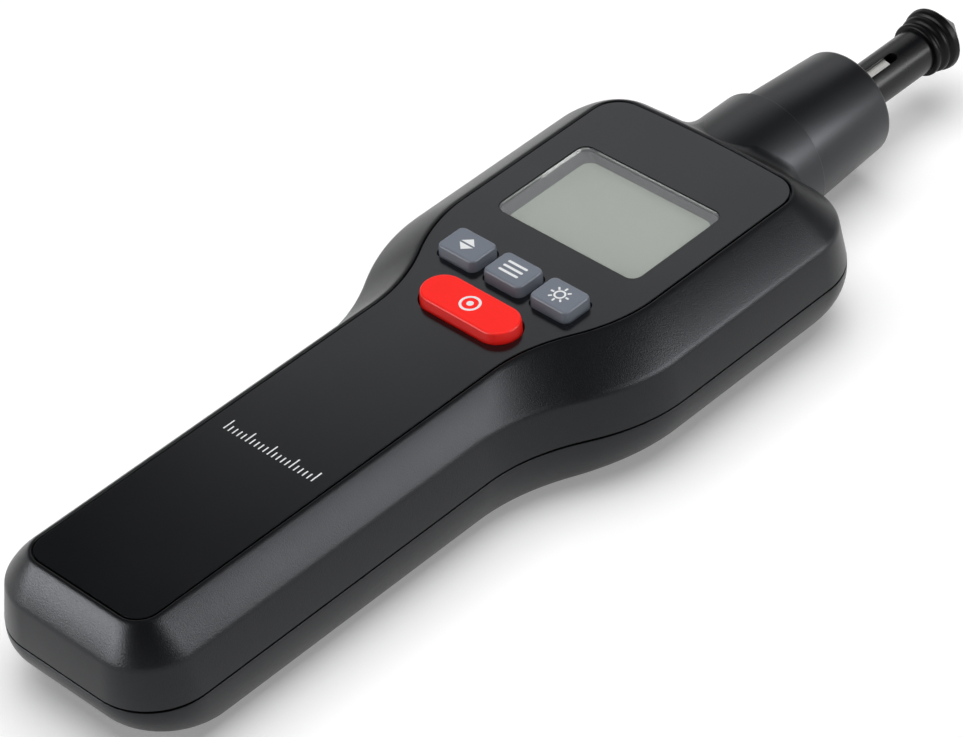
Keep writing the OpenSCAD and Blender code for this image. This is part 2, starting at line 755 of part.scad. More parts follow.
module sensor_lens() {
    color([0.75, 0.8, 0.85, 0.5]) place() translate([optic_pitch / 2, 0, 0])
        turned(concat([[0, sensor_lens_y], [optic_r, sensor_lens_y], [optic_r, sensor_lens_y + sensor_rim_t]],
            [for (i = [1:corner_steps]) let (a = 90 * i / corner_steps)
                [optic_r * cos(a), sensor_lens_y + sensor_rim_t + sensor_dome_h * sin(a)]]));
}
module sensor_board() {
    color([0.05, 0.35, 0.15]) place() along(0, tube_y - board_t, board_t, tube_r);
}
module mode_key() {
    color([0.4, 0.42, 0.46]) place() key_cap(-key_pitch, key_y, key_w, key_l, key_r);
}
module memory_key() {
    color([0.4, 0.42, 0.46]) place() key_cap(0, key_y, key_w, key_l, key_r);
}
module light_key() {
    color([0.4, 0.42, 0.46]) place() key_cap(key_pitch, key_y, key_w, key_l, key_r);
}
module measure_key() {
    color([0.85, 0.15, 0.12]) place() key_cap(measure_shift, measure_y, measure_w, measure_l, measure_l / 2 - hair);
}
// Rubber dome between the board and a key
module dome(x, y) {
    translate([x, y, board_top]) rotate_extrude($fn = round_fn) polygon([[0, dome_pill_z], [dome_pill_r, dome_pill_z],
        [dome_base_r - dome_t, 0], [dome_base_r, 0], [dome_base_r, dome_t], [dome_top_r, dome_h - dome_t],
        [dome_top_r, dome_h], [0, dome_h]]);
}
module mode_dome() {
    color([0.7, 0.7, 0.68]) place() dome(-key_pitch, key_y);
}
module memory_dome() {
    color([0.7, 0.7, 0.68]) place() dome(0, key_y);
}
module light_dome() {
    color([0.7, 0.7, 0.68]) place() dome(key_pitch, key_y);
}
module measure_dome() {
    color([0.7, 0.7, 0.68]) place() dome(measure_shift, measure_y);
}
module adapter_collar() {
    color([0.13, 0.135, 0.14]) place() turned([[spigot_bore_r, spigot_y], [socket_r - running_gap, spigot_y],
        [socket_r - running_gap, barrel_front], [collar_rear_r, barrel_front],
        [collar_front_r + collar_edge / 3, collar_front - collar_edge],
        [collar_front_r - collar_edge / 3, collar_front - collar_edge / 3],
        [collar_front_r - collar_edge, collar_front], [collar_lip_r, collar_front],
        [collar_lip_r, front_bearing_y + bearing_w], [bearing_r + hair, front_bearing_y + bearing_w],
        [bearing_r + hair, rear_bearing_y], [spigot_bore_r, rear_bearing_y]]);
}
// Shielded ball bearing on the nose axis, with its running bore for the shaft
module bearing(y) {
    turned([[shaft_r + running_gap, y], [bearing_r - race_t, y], [bearing_r - race_t, y + shield_in],
        [bearing_r - race_t / 2, y + shield_in], [bearing_r - race_t / 2, y], [bearing_r, y],
        [bearing_r, y + bearing_w], [shaft_r + running_gap, y + bearing_w]]);
}
module rear_bearing() {
    color([0.75, 0.75, 0.77]) place() bearing(rear_bearing_y);
}
module front_bearing() {
    color([0.75, 0.75, 0.77]) place() bearing(front_bearing_y);
}
module bearing_spacer() {
    color([0.7, 0.6, 0.35]) place() turned([[bearing_r - race_t, rear_bearing_y + bearing_w],
        [bearing_r, rear_bearing_y + bearing_w], [bearing_r, front_bearing_y], [bearing_r - race_t, front_bearing_y]]);
}
module spindle_shaft() {
    color([0.85, 0.85, 0.86]) place() turned([[0, disc_y], [shaft_r, disc_y], [shaft_r, clip_y],
        [shaft_r - clip_deep, clip_y], [shaft_r - clip_deep, clip_y + clip_t], [shaft_r, clip_y + clip_t],
        [shaft_r, sleeve_y], [journal_r, sleeve_y], [journal_r, shaft_front - shaft_edge],
        [journal_r - shaft_edge, shaft_front], [0, shaft_front]]);
}
module marker_disc() {
    color([0.2, 0.2, 0.2]) place() {
        turned([[shaft_r + hair, disc_y], [disc_r, disc_y], [disc_r, disc_y + disc_t], [hub_r, disc_y + disc_t],
            [hub_r, disc_y + hub_l], [shaft_r + hair, disc_y + hub_l]]);
        for (s = [-1, 1])
            translate([s * (disc_r + hub_r) / 2 - marker_w / 2, disc_y - marker_t, axis_z - marker_w / 2])
                cube([marker_w, marker_t + hair, marker_w]);
    }
}
module retaining_clip() {
    color([0.5, 0.5, 0.52]) place() difference() {
        along(0, clip_y + hair, clip_t - 2 * hair, clip_r);
        along(0, clip_y - over, clip_t + 2 * over, shaft_r - clip_deep + hair);
        translate([-clip_mouth / 2, clip_y - over, axis_z - clip_r - over])
            cube([clip_mouth, clip_t + 2 * over, clip_r + over]);
    }
}
module tip_sleeve() {
    color([0.13, 0.135, 0.14]) place() difference() {
        turned([[journal_r + running_gap, sleeve_y], [sleeve_r - sleeve_edge, sleeve_y],
            [sleeve_r, sleeve_y + sleeve_edge], [sleeve_r, sleeve_front], [plug_r, sleeve_front],
            [plug_r, sleeve_front + plug_l], [0, sleeve_front + plug_l], [0, sleeve_y + bore_l],
            [journal_r + running_gap, sleeve_y + bore_l]]);
        translate([0, 0, axis_z]) rotate([0, -slot_turn, 0]) {
            translate([0, sleeve_y - over, -slot_w / 2])
                cube([sleeve_r + over, slot_l - slot_w / 2 + over, slot_w]);
            translate([0, sleeve_y + slot_l - slot_w / 2, 0])
                rotate([0, 90, 0]) cylinder(h = sleeve_r + over, r = slot_w / 2, $fn = round_fn);
        }
    }
}
module contact_cone() {
    color([0.08, 0.08, 0.08]) place() turned([[plug_r + hair, sleeve_front],
        [rear_ring_r - cone_edge / 2, sleeve_front], [rear_ring_r, sleeve_front + cone_edge],
        [rear_ring_r, groove_y], [rear_ring_r - groove_deep, groove_y + groove_l / 3],
        [rear_ring_r - groove_deep, groove_y + groove_l * 2 / 3], [cone_r - cone_edge, groove_y + groove_l],
        [cone_r, groove_y + groove_l + cone_edge], [cone_r, cone_front - cone_edge / 2],
        [cone_r - cone_edge / 4, cone_front], [point_r, tip_y - point_round], [point_r / 2, tip_y], [0, tip_y],
        [0, sleeve_front + plug_l + hair], [plug_r + hair, sleeve_front + plug_l + hair]]);
}

upper_shell();
lower_shell();
front_panel();
display_window();
display_bezel();
display_glass();
backlight_plate();
contact_strip();
main_board();
board_parts();
board_screws();
case_screws();
battery_door();
battery();
battery_contacts();
nose_barrel();
nose_window();
optics_holder();
laser_module();
light_sensor();
sensor_lens();
sensor_board();
mode_key();
memory_key();
light_key();
measure_key();
mode_dome();
memory_dome();
light_dome();
measure_dome();
adapter_collar();
rear_bearing();
bearing_spacer();
front_bearing();
spindle_shaft();
marker_disc();
retaining_clip();
tip_sleeve();
contact_cone();
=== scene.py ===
"""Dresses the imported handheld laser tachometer: its housing, keys, display, nose and contact tip.

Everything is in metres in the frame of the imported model: Y runs from the tail to the contact tip and Z is
up out of the front panel. Sizes are written in millimetres and multiplied by MM. Places along the length are
counted from the tail, at TAIL_Y.
"""
from __future__ import annotations

import logging
import math
from dataclasses import dataclass, field
from enum import Enum

import bmesh
import bpy
import numpy as np
from mathutils import Matrix, Vector


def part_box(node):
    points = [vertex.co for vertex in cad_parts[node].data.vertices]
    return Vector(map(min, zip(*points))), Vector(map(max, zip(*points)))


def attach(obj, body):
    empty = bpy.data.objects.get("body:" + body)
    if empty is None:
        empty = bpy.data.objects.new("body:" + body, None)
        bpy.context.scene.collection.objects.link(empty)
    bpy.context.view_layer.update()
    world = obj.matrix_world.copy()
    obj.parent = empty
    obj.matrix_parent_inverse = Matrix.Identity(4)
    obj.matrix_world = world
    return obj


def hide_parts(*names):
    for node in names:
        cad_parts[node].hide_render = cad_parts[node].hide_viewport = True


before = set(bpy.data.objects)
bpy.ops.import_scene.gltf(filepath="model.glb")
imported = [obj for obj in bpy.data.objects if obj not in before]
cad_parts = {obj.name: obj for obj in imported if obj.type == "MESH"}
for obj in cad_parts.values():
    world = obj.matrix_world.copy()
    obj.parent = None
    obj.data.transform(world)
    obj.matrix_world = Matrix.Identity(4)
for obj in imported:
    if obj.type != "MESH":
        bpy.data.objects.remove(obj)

LOG = logging.getLogger("tachometer")
MM = 0.001
PICTURE_WIDTH = 963
SHARP_ANGLE = math.radians(28)
KEY_SHARP_ANGLE = math.radians(40)
LEVEL_NORMAL = 0.99999
LEVEL_FOLD = 1e-4
WELD = 1e-7
FLOOR_DROP = 0.00005
PLASTIC_IOR = 1.49
HAIR = 0.05
OVER = 1.0
COOL = (0.91, 0.94, 1.0)
WINDOW = (38.6, 27.7, 2.6)
WINDOW_Y = 153.2
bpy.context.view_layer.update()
TAIL_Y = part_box("lower_shell")[0].y / MM
AXIS_Z = (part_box("contact_cone")[0].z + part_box("contact_cone")[1].z) / 2 / MM


# Meshes

def mesh_object(name: str, points: np.ndarray, faces: list[list[int]]) -> bpy.types.Object:
    """Makes an object of points in millimetres and links it to the scene.

    Args:
        name: Name of the object and of its mesh.
        points: Array of shape (n, 3) in millimetres.
        faces: Lists of point numbers, anticlockwise seen from outside.

    Returns:
        The new object, at the origin.
    """
    mesh = bpy.data.meshes.new(name)
    mesh.from_pydata((np.asarray(points, float) * MM).tolist(), [], faces)
    mesh.update()
    made = bpy.data.objects.new(name, mesh)
    bpy.context.scene.collection.objects.link(made)
    return made


def grid_faces(rows: int, columns: int, first: int = 0) -> list[list[int]]:
    """Quads of a grid that closes round its columns: each joins a point to the next column and the next row.

    Args:
        rows: Number of rings.
        columns: Points in a ring, anticlockwise.
        first: Number of the grid's first point.

    Returns:
        The quads as lists of four point numbers.
    """
    k, i = np.meshgrid(np.arange(rows - 1), np.arange(columns), indexing="ij")
    j = (i + 1) % columns
    quads = np.stack([k * columns + i, k * columns + j, (k + 1) * columns + j, (k + 1) * columns + i], -1)
    return (quads.reshape(-1, 4) + first).tolist()


def ring_solid(name: str, rings: np.ndarray) -> bpy.types.Object:
    """Closed solid through rings, with a fan from the middle of the first and of the last ring.

    Args:
        name: Name of the object.
        rings: Array of shape (rows, columns, 3) in millimetres, the first row lowest.

    Returns:
        The new object.
    """
    rows, columns = rings.shape[:2]
    points = np.concatenate([rings.reshape(-1, 3), rings[[0, -1]].mean(axis=1)])
    low, high = rows * columns, rows * columns + 1
    last = (rows - 1) * columns
    faces = grid_faces(rows, columns)
    faces += [[low, (i + 1) % columns, i] for i in range(columns)]
    faces += [[high, last + i, last + (i + 1) % columns] for i in range(columns)]
    return mesh_object(name, points, faces)


def strip_solid(name: str, rings: np.ndarray) -> bpy.types.Object:
    """Closed solid through mirror-symmetric rings, whose two flat ends are strips that run across.

    Args:
        name: Name of the object.
        rings: Array of shape (rows, 2 m - 1, 3): right side from the tail to the nose, then back on the left.

    Returns:
        The new object.
    """
    rows, columns = rings.shape[:2]
    nose = (columns - 1) // 2
    far = (rows - 1) * columns
    faces = grid_faces(rows, columns)
    strips = [[i, i + 1, columns - 2 - i, columns - 1 - i] for i in range(nose - 1)]
    strips.append([nose - 1, nose, nose + 1])
    faces += [face[::-1] for face in strips]
    faces += [[far + i for i in face] for face in strips]
    return mesh_object(name, rings.reshape(-1, 3), faces)


def loop_solid(name: str, rings: np.ndarray) -> bpy.types.Object:
    """Closed solid through rings of which the last one joins the first.

    Args:
        name: Name of the object.
        rings: Array of shape (rows, columns, 3) in millimetres.

    Returns:
        The new object, with its faces outwards.
    """
    rows, columns = rings.shape[:2]
    faces = (np.array(grid_faces(rows + 1, columns)) % (rows * columns)).tolist()
    made = mesh_object(name, rings.reshape(-1, 3), faces)
    close_up(made)
    return made


def lifted(outline: np.ndarray, height: float) -> np.ndarray:
    """An outline of shape (n, 2) as points of shape (n, 3) at a height."""
    return np.column_stack([outline, np.full(len(outline), height)])


def bezier(start: np.ndarray, bend: np.ndarray, end: np.ndarray, t: np.ndarray) -> np.ndarray:
    """Quadratic Bezier curve: the ends weigh as the squares of 1 - t and t, and the bend as twice their product."""
    return (1 - t) ** 2 * start + 2 * t * (1 - t) * bend + t ** 2 * end


def turned_solid(name: str, profile: list[tuple[float, float]], along_y: bool = True,
                 centre: tuple[float, float] = (0.0, 0.0), steps: int = 96) -> bpy.types.Object:
    """Solid of revolution: each profile point (radius, place) is carried round the axis in equal steps.

    Args:
        name: Name of the object.
        profile: Closed loop of (radius, place along the axis) in millimetres. A radius of 0 closes on the axis.
        along_y: True for an axis along Y through x, z = centre, False for one along Z through x, y = centre.
        centre: The axis' place in the other two directions.
        steps: Steps round the axis.

    Returns:
        The new object.
    """
    radius, place = np.array(profile, float).T
    angle = np.linspace(0, 2 * np.pi, steps, endpoint=False)
    across = centre[0] + np.outer(radius, np.cos(angle))
    other = centre[1] + np.outer(radius, np.sin(angle))
    level = np.repeat(place[:, None], steps, axis=1)
    return loop_solid(name, np.stack([across, level, other] if along_y else [across, other, level], axis=-1))


def rounded_outline(width: float, length: float, radius: float, steps: int = 12) -> np.ndarray:
    """Rounded rectangle about the origin: four quarter circles joined by straight sides.

    Args:
        width: Size along X.
        length: Size along Y.
        radius: Corner radius.
        steps: Steps in each quarter circle.

    Returns:
        Array of shape (4 (steps + 1), 2), anticlockwise.
    """
    angle = np.radians(np.linspace(0, 90, steps + 1))
    corners = []
    for turn, (sx, sy) in enumerate([(1, 1), (-1, 1), (-1, -1), (1, -1)]):
        a = angle + turn * np.pi / 2
        corners.append(np.stack([sx * (width / 2 - radius) + radius * np.cos(a),
                                 sy * (length / 2 - radius) + radius * np.sin(a)], axis=-1))
    return np.concatenate(corners)


def prism(name: str, outline: np.ndarray, low: float, high: float,
          centre: tuple[float, float] = (0.0, 0.0)) -> bpy.types.Object:
    """Upright prism over an outline.

    Args:
        name: Name of the object.
        outline: Array of shape (n, 2), anticlockwise, in millimetres.
        low: Height of the underside.
        high: Height of the upper side.
        centre: Place of the outline's origin.

    Returns:
        The new object.
    """
    at = outline + np.array(centre)
    return ring_solid(name, np.stack([lifted(at, z) for z in (low, high)]))


def weld(piece: bpy.types.Object, distance: float = WELD) -> None:
    """Merges points that coincide, and drops faces that have lost their area."""
    work = bmesh_of(piece)
    bmesh.ops.remove_doubles(work, verts=work.verts, dist=distance)
    bmesh.ops.dissolve_degenerate(work, edges=work.edges, dist=distance)
    work.to_mesh(piece.data)
    work.free()


def bmesh_of(piece: bpy.types.Object) -> bmesh.types.BMesh:
    """A bmesh with the piece's mesh in it."""
    work = bmesh.new()
    work.from_mesh(piece.data)
    return work


def turn_outwards(piece: bpy.types.Object) -> None:
    """Recalculates the normals of a closed mesh so that its faces point outwards."""
    work = bmesh_of(piece)
    bmesh.ops.recalc_face_normals(work, faces=work.faces)
    work.to_mesh(piece.data)
    work.free()


def close_up(piece: bpy.types.Object) -> None:
    """Welds a closed mesh and turns its faces outwards."""
    weld(piece)
    turn_outwards(piece)


def remove(piece: bpy.types.Object) -> None:
    """Removes an object and its mesh."""
    mesh = piece.data
    bpy.data.objects.remove(piece)
    bpy.data.meshes.remove(mesh)


def cut(piece: bpy.types.Object, tools: list[bpy.types.Object], operation: str = "DIFFERENCE") -> None:
    """Applies an exact boolean with each tool in turn, and removes the tools.

    Args:
        piece: The piece that is changed.
        tools: Closed solids.
        operation: Name of the boolean operation.
    """
    for tool in tools:
        step = piece.modifiers.new("cut", "BOOLEAN")
        step.operation = operation
        step.solver = "EXACT"
        step.object = tool
        bake(piece)
        remove(tool)
    weld(piece)


def bake(piece: bpy.types.Object) -> None:
    """Puts the result of the piece's modifiers into its mesh."""
    bpy.context.view_layer.update()
    seen = piece.evaluated_get(bpy.context.evaluated_depsgraph_get())
    mesh = bpy.data.meshes.new_from_object(seen)
    old = piece.data
    piece.modifiers.clear()
    piece.data = mesh
    mesh.name = piece.name
    bpy.data.meshes.remove(old)


def soften(piece: bpy.types.Object, angle: float = SHARP_ANGLE) -> None:
    """Shades the piece smooth, with sharp edges where its faces fold, and round faces that lie flat.

    Args:
        piece: The piece to shade.
        angle: Fold between two faces from which their edge is sharp.
    """
    work = bmesh_of(piece)
    for edge in work.edges:
        faces = edge.link_faces
        fold = faces[0].normal.angle(faces[1].normal, 0.0) if len(faces) == 2 else math.pi
        level = [abs(face.normal.z) > LEVEL_NORMAL for face in faces]
        edge.smooth = fold < angle and (len(set(level)) == 1 or fold < LEVEL_FOLD)
    for face in work.faces:
        face.smooth = True
    work.to_mesh(piece.data)
    work.free()


def join(name: str, parts: list[bpy.types.Object]) -> bpy.types.Object:
    """One object with the meshes of several, which are removed.

    Args:
        name: Name of the new object.
        parts: Objects at the origin.

    Returns:
        The new object.
    """
    work = bmesh.new()
    for part in parts:
        work.from_mesh(part.data)
        remove(part)
    mesh = bpy.data.meshes.new(name)
    work.to_mesh(mesh)
    work.free()
    made = bpy.data.objects.new(name, mesh)
    bpy.context.scene.collection.objects.link(made)
    return made


def dress(piece: bpy.types.Object, finish: bpy.types.Material, body: str,
          nodes: tuple[str, ...] = ()) -> None:
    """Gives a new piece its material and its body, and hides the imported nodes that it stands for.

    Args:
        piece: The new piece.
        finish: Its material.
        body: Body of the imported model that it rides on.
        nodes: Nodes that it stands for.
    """
    piece.data.materials.clear()
    piece.data.materials.append(finish)
    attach(piece, body)
    if nodes:
        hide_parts(*nodes)


# Shell form

def inset(level: np.ndarray, distance: float, height: float) -> np.ndarray:
    """The level drawn in by a distance, at another height; its corner radii keep the wall as their least value.

    Args:
        level: Height, half widths of handle and head, tail end, nose end, two corner radii, start and end of
            the neck.
        distance: How far the outline is drawn in. A negative value draws it out.
        height: Height of the new level.

    Returns:
        The new level.
    """
    step = np.array([0, -distance, -distance, distance, -distance, -distance, -distance, 0, 0], float)
    drawn = level + step
    drawn[0] = height
    drawn[5:7] = np.maximum(drawn[5:7], ShellForm.least_radius)
    return drawn


def curve(start: np.ndarray, bend: np.ndarray, end: np.ndarray, steps: int) -> list[np.ndarray]:
    """Points of a quadratic Bezier curve between two levels, its ends included."""
    return list(bezier(start, bend, end, np.linspace(0, 1, steps + 1)[:, None]))


def eased(levels: list[np.ndarray], reach: dict[int, float], steps: int = 5) -> list[np.ndarray]:
    """A path of levels whose named corners are replaced by small curves.

    Args:
        levels: The corners of the path.
        reach: For a corner's number, how far from it the curve starts on both sides.
        steps: Steps of each curve.

    Returns:
        The levels of the eased path.
    """
    path = []
    for number, level in enumerate(levels):
        if number not in reach:
            path.append(level)
            continue
        ends = []
        for other in (levels[number - 1], levels[number + 1]):
            length = np.linalg.norm((other - level)[:2])
            ends.append(level + (other - level) * min(reach[number] / max(length, 1e-9), 0.5))
        path += curve(ends[0], level, ends[1], steps)
    return path


@dataclass(frozen=True)
class ShellForm:
    """The outline levels of the two moulded shells, in millimetres."""

    length: float = 193.5
    top: float = 32.0
    handle: float = 24.8
    head: float = 37.8
    seam: float = 15.0
    shoulder: float = 24.6
    draft: float = 1.7
    tail_r: float = 14.0
    nose_r: float = 16.0
    neck: tuple[float, float] = (90.0, 133.0)
    wall: float = 2.2
    recess: float = 1.2
    groove: float = 0.4
    panel_handle: float = 15.9
    panel_head: float = 25.85
    panel_ends: tuple[float, float] = (7.5, 183.7)
    panel_corners: tuple[float, float] = (5.0, 7.0)
    panel_neck: tuple[float, float] = (101.5, 137.5)
    top_wall: float = 1.8
    rim: float = 0.6
    rim_lip: float = 0.5
    mouth_start: float = 0.35
    mouth_drop: float = 0.25
    turn_start: float = 0.09
    seam_soft: float = 0.16
    bulge: float = 0.2
    seam_groove: float = 0.5
    tongue: tuple[float, float] = (1.2, 1.5)
    bow: float = 0.6
    shoulder_corners: tuple[float, float] = (12.0, 14.5)
    shoulder_gaps: tuple[float, float] = (1.2, 1.3)
    belly_drop: float = 1.0
    belly_sides: tuple[float, float] = (10.4, 16.0)
    belly_ends: tuple[float, float] = (29.0, 15.0)
    belly_corners: tuple[float, float] = (5.0, 12.0)
    least_radius: float = 2.2
    corner_steps: int = 20
    neck_steps: int = 44
    nose_steps: int = 8
    belly_steps: int = 20

    @property
    def floor(self) -> float:
        """Height of the panel's seat."""
        return self.top - self.recess

    @property
    def ceiling(self) -> float:
        """Height of the upper shell's inside."""
        return self.floor - self.top_wall

    @property
    def seam_level(self) -> np.ndarray:
        """The widest outline, at the seam."""
        return np.array([self.seam, self.handle, self.head, 0, self.length, self.tail_r, self.nose_r, *self.neck])

    @property
    def shoulder_level(self) -> np.ndarray:
        """The outline where the wall turns into the chamfer."""
        return np.array([self.shoulder, self.handle - self.draft, self.head - self.draft, self.shoulder_gaps[0],
                         self.length - self.shoulder_gaps[1], *self.shoulder_corners, *self.neck])

    @property
    def recess_level(self) -> np.ndarray:
        """The outline of the recess that holds the panel."""
        return np.array([self.top, self.panel_handle + self.groove, self.panel_head + self.groove,
                         self.panel_ends[0] - self.groove, self.panel_ends[1] + self.groove,
                         *self.panel_corners, *self.panel_neck])

    def belly(self, angle: float, distance: float, low: float) -> np.ndarray:
        """Level of the belly at an angle down from the seam, where a right angle is the back.

        Args:
            angle: The angle in radians.
            distance: How far it is drawn in.
            low: Height of the back.

        Returns:
            The level.
        """
        bottom = np.array([0, self.handle - self.belly_sides[0], self.head - self.belly_sides[1],
                           self.belly_ends[0], self.length - self.belly_ends[1], *self.belly_corners, *self.neck])
        mixed = self.seam_level + (bottom - self.seam_level) * (1 - math.cos(angle))
        height = low + (self.seam - self.belly_drop - low) * (1 - math.sin(angle))
        return inset(mixed, distance, height)

    def half_outline(self, level: np.ndarray) -> np.ndarray:
        """Right half of a level's outline from the tail to the nose: a quarter circle at the tail, a neck of two
        equal parabolic arcs, a quarter circle at the nose and half of the slightly bowed nose wall.

        Args:
            level: The level.

        Returns:
            Array of shape (n, 2).
        """
        _, handle, head, tail, nose, tail_r, nose_r, start, end = level
        a = np.radians(np.linspace(-90, 0, self.corner_steps + 1))
        t = np.linspace(0, 1, self.neck_steps + 1)
        sway = np.where(t < 0.5, 2 * t * t, 1 - 2 * (1 - t) ** 2)
        b = np.radians(np.linspace(0, 90, self.corner_steps + 1))
        s = 1 - np.arange(1, self.nose_steps + 1) / self.nose_steps
        return np.concatenate([
            np.column_stack([handle - tail_r + tail_r * np.cos(a), tail + tail_r + tail_r * np.sin(a)]),
            np.column_stack([handle + (head - handle) * sway, start + (end - start) * t]),
            np.column_stack([head - nose_r + nose_r * np.cos(b), nose - nose_r + nose_r * np.sin(b)]),
            np.column_stack([(head - nose_r) * s, nose + self.bow * (1 - s * s)])])

    def outline(self, level: np.ndarray) -> np.ndarray:
        """Whole outline of a level, right side first, in the frame's millimetres."""
        half = self.half_outline(level)
        both = np.concatenate([half, half[-2::-1] * (-1, 1)])
        return both + (0, TAIL_Y)

    def solid(self, name: str, levels: list[np.ndarray]) -> bpy.types.Object:
        """Closed solid lofted through levels, whose flat ends are strips."""
        made = strip_solid(name, np.stack([lifted(self.outline(level), level[0]) for level in levels]))
        close_up(made)
        return made

    def upper_levels(self) -> list[np.ndarray]:
        """Levels of the upper shell: down its inside, over the seam, and up its outside to the panel's seat."""
        seam, shoulder, recess = self.seam_level, self.shoulder_level, self.recess_level
        wide, high = self.tongue
        top = self.seam + high + HAIR
        inside = [inset(recess, self.groove, self.ceiling), inset(shoulder, self.wall, self.shoulder - self.wall),
                  inset(seam, self.wall, top), inset(seam, wide - HAIR, top), inset(seam, wide - HAIR, self.seam),
                  inset(seam, self.seam_groove, self.seam),
                  inset(seam, self.seam_groove, self.seam + self.seam_groove)]
        wall = inset(seam, 0, self.seam + self.seam_groove)
        corner = inset(shoulder, 0, self.shoulder)
        rim = inset(recess, -self.rim, self.top)
        middle = inset((shoulder + rim) / 2, -self.bulge, (self.shoulder + self.top) / 2 + self.bulge)
        chamfer = curve(corner, 2 * middle - (corner + rim) / 2, rim, 12)
        turn = curve(corner + (wall - corner) * self.turn_start, corner, chamfer[1], 6)
        lip = curve(chamfer[-2], rim, rim + (recess - rim) * self.rim_lip, 4)
        edge = curve(recess + (rim - recess) * self.mouth_start, recess,
                     inset(recess, 0, self.top - self.mouth_drop), 4)
        start = eased([inside[-1], wall, corner], {1: self.seam_soft}, 3)[:-1]
        return inside + start[1:] + turn + chamfer[2:-2] + lip + edge + [inset(recess, 0, self.floor)]

    def nose_place(self, x: np.ndarray, z: np.ndarray) -> np.ndarray:
        """Where the upper shell's outside meets its nose end: the level's nose end plus the bow between the
        corners, and the level's corner circle beyond, with levels blended by height.

        Args:
            x: Places across, in millimetres.
            z: Heights, in millimetres.

        Returns:
            Places along Y in the frame's millimetres.
        """
        levels = np.array(self.upper_levels()[7:])
        levels = levels[:levels[:, 0].argmax() + 1]
        head, nose, radius = (np.interp(z, levels[:, 0], levels[:, field]) for field in (2, 4, 6))
        flat = head - radius
        beyond = np.clip(np.abs(x) - flat, 0, radius)
        bowed = self.bow * (1 - np.minimum(np.abs(x) / flat, 1) ** 2)
        return nose + bowed - radius + np.sqrt(radius ** 2 - beyond ** 2) + TAIL_Y

    def belly_levels(self) -> list[np.ndarray]:
        """Levels of the outside of the lower shell, from the back up to the seam."""
        angles = np.radians(np.linspace(90, 0, self.belly_steps + 1))
        rise = [self.belly(a, 0, 0) for a in angles]
        edge = inset(self.seam_level, 0, self.seam)
        soft = self.seam_soft
        return rise + curve(inset(edge, 0, self.seam - soft), edge, inset(edge, soft, self.seam), 3)

    def lower_levels(self) -> list[np.ndarray]:
        """Levels of the lower shell: up its outside, over the seam and its tongue, and down its inside."""
        wide, high = self.tongue
        seam = self.seam_level
        over = [inset(seam, wide, self.seam), inset(seam, wide, self.seam + high),
                inset(seam, self.wall, self.seam + high)]
        angles = np.radians(np.linspace(0, 90, self.belly_steps + 1))
        return self.belly_levels() + over + [self.belly(a, self.wall, self.wall) for a in angles]


# Finishes

class Pattern(Enum):
    """Surface pattern of a finish."""

    GRAIN = "grain"
    BRUSHED = "brushed"
    PLAIN = "plain"


@dataclass(frozen=True)
class Finish:
    """One surface finish, from which a node material is made.

    Lengths are in metres and colours are linear.
    """

    name: str
    colour: tuple[float, float, float]
    roughness: float = 0.45
    specular: float = 0.5
    metallic: float = 0.0
    coat: float = 0.0
    pattern: Pattern = Pattern.GRAIN
    cell: float = 0.0004
    depth: float = 0.00002
    drift: float = 0.12
    drift_size: float = 0.03
    uneven: float = 0.05
    sheen: tuple[float, float, float] = (1.0, 1.0, 1.0)

    def material(self) -> bpy.types.Material:
        """A material whose colour and roughness drift softly and whose relief is the finish's pattern."""
        made, tree, shader = new_material(self.name)
        shader.inputs["Metallic"].default_value = self.metallic
        shader.inputs["Specular IOR Level"].default_value = self.specular
        shader.inputs["Specular Tint"].default_value = (*self.sheen, 1.0)
        shader.inputs["Coat Weight"].default_value = self.coat
        drift = use_group(tree, tone_drift_group(), {"Colour": (*self.colour, 1.0), "Size": self.drift_size,
                                                     "Amount": self.drift, "Roughness": self.roughness,
                                                     "Uneven": self.uneven})
        tree.links.new(drift.outputs["Colour"], shader.inputs["Base Color"])
        tree.links.new(drift.outputs["Roughness"], shader.inputs["Roughness"])
        if self.pattern is not Pattern.PLAIN:
            group = brushed_group() if self.pattern is Pattern.BRUSHED else fine_grain_group()
            relief = use_group(tree, group, {"Cell": self.cell})
            bump = tree.nodes.new("ShaderNodeBump")
            bump.inputs["Strength"].default_value = 1.0
            bump.inputs["Distance"].default_value = self.depth
            tree.links.new(relief.outputs["Height"], bump.inputs["Height"])
            tree.links.new(bump.outputs["Normal"], shader.inputs["Normal"])
        return made


def new_material(name: str) -> tuple[bpy.types.Material, bpy.types.NodeTree, bpy.types.Node]:
    """A node material with only a Principled shader.

    Args:
        name: Name of the material.

    Returns:
        The material, its node tree and the shader.
    """
    made = bpy.data.materials.new(name)
    made.use_nodes = True
    tree = made.node_tree
    tree.nodes.clear()
    out = tree.nodes.new("ShaderNodeOutputMaterial")
    shader = tree.nodes.new("ShaderNodeBsdfPrincipled")
    tree.links.new(shader.outputs["BSDF"], out.inputs["Surface"])
    return made, tree, shader


def new_group(name: str, inputs: dict[str, tuple[str, object]], outputs: dict[str, str]) -> tuple[
        bpy.types.NodeTree, bpy.types.Node, bpy.types.Node, bpy.types.NodeSocket]:
    """A shared node group with named sockets, to be filled.

    Args:
        name: Name of the group.
        inputs: Socket type and default value by name.
        outputs: Socket type by name.

    Returns:
        The group, its input and output nodes, and the place in Object coordinates.
    """
    tree = bpy.data.node_groups.new(name, "ShaderNodeTree")
    for label, (kind, value) in inputs.items():
        socket = tree.interface.new_socket(label, in_out="INPUT", socket_type=kind)
        socket.default_value = value
    for label, kind in outputs.items():
        tree.interface.new_socket(label, in_out="OUTPUT", socket_type=kind)
    start, end = tree.nodes.new("NodeGroupInput"), tree.nodes.new("NodeGroupOutput")
    return tree, start, end, tree.nodes.new("ShaderNodeTexCoord").outputs["Object"]


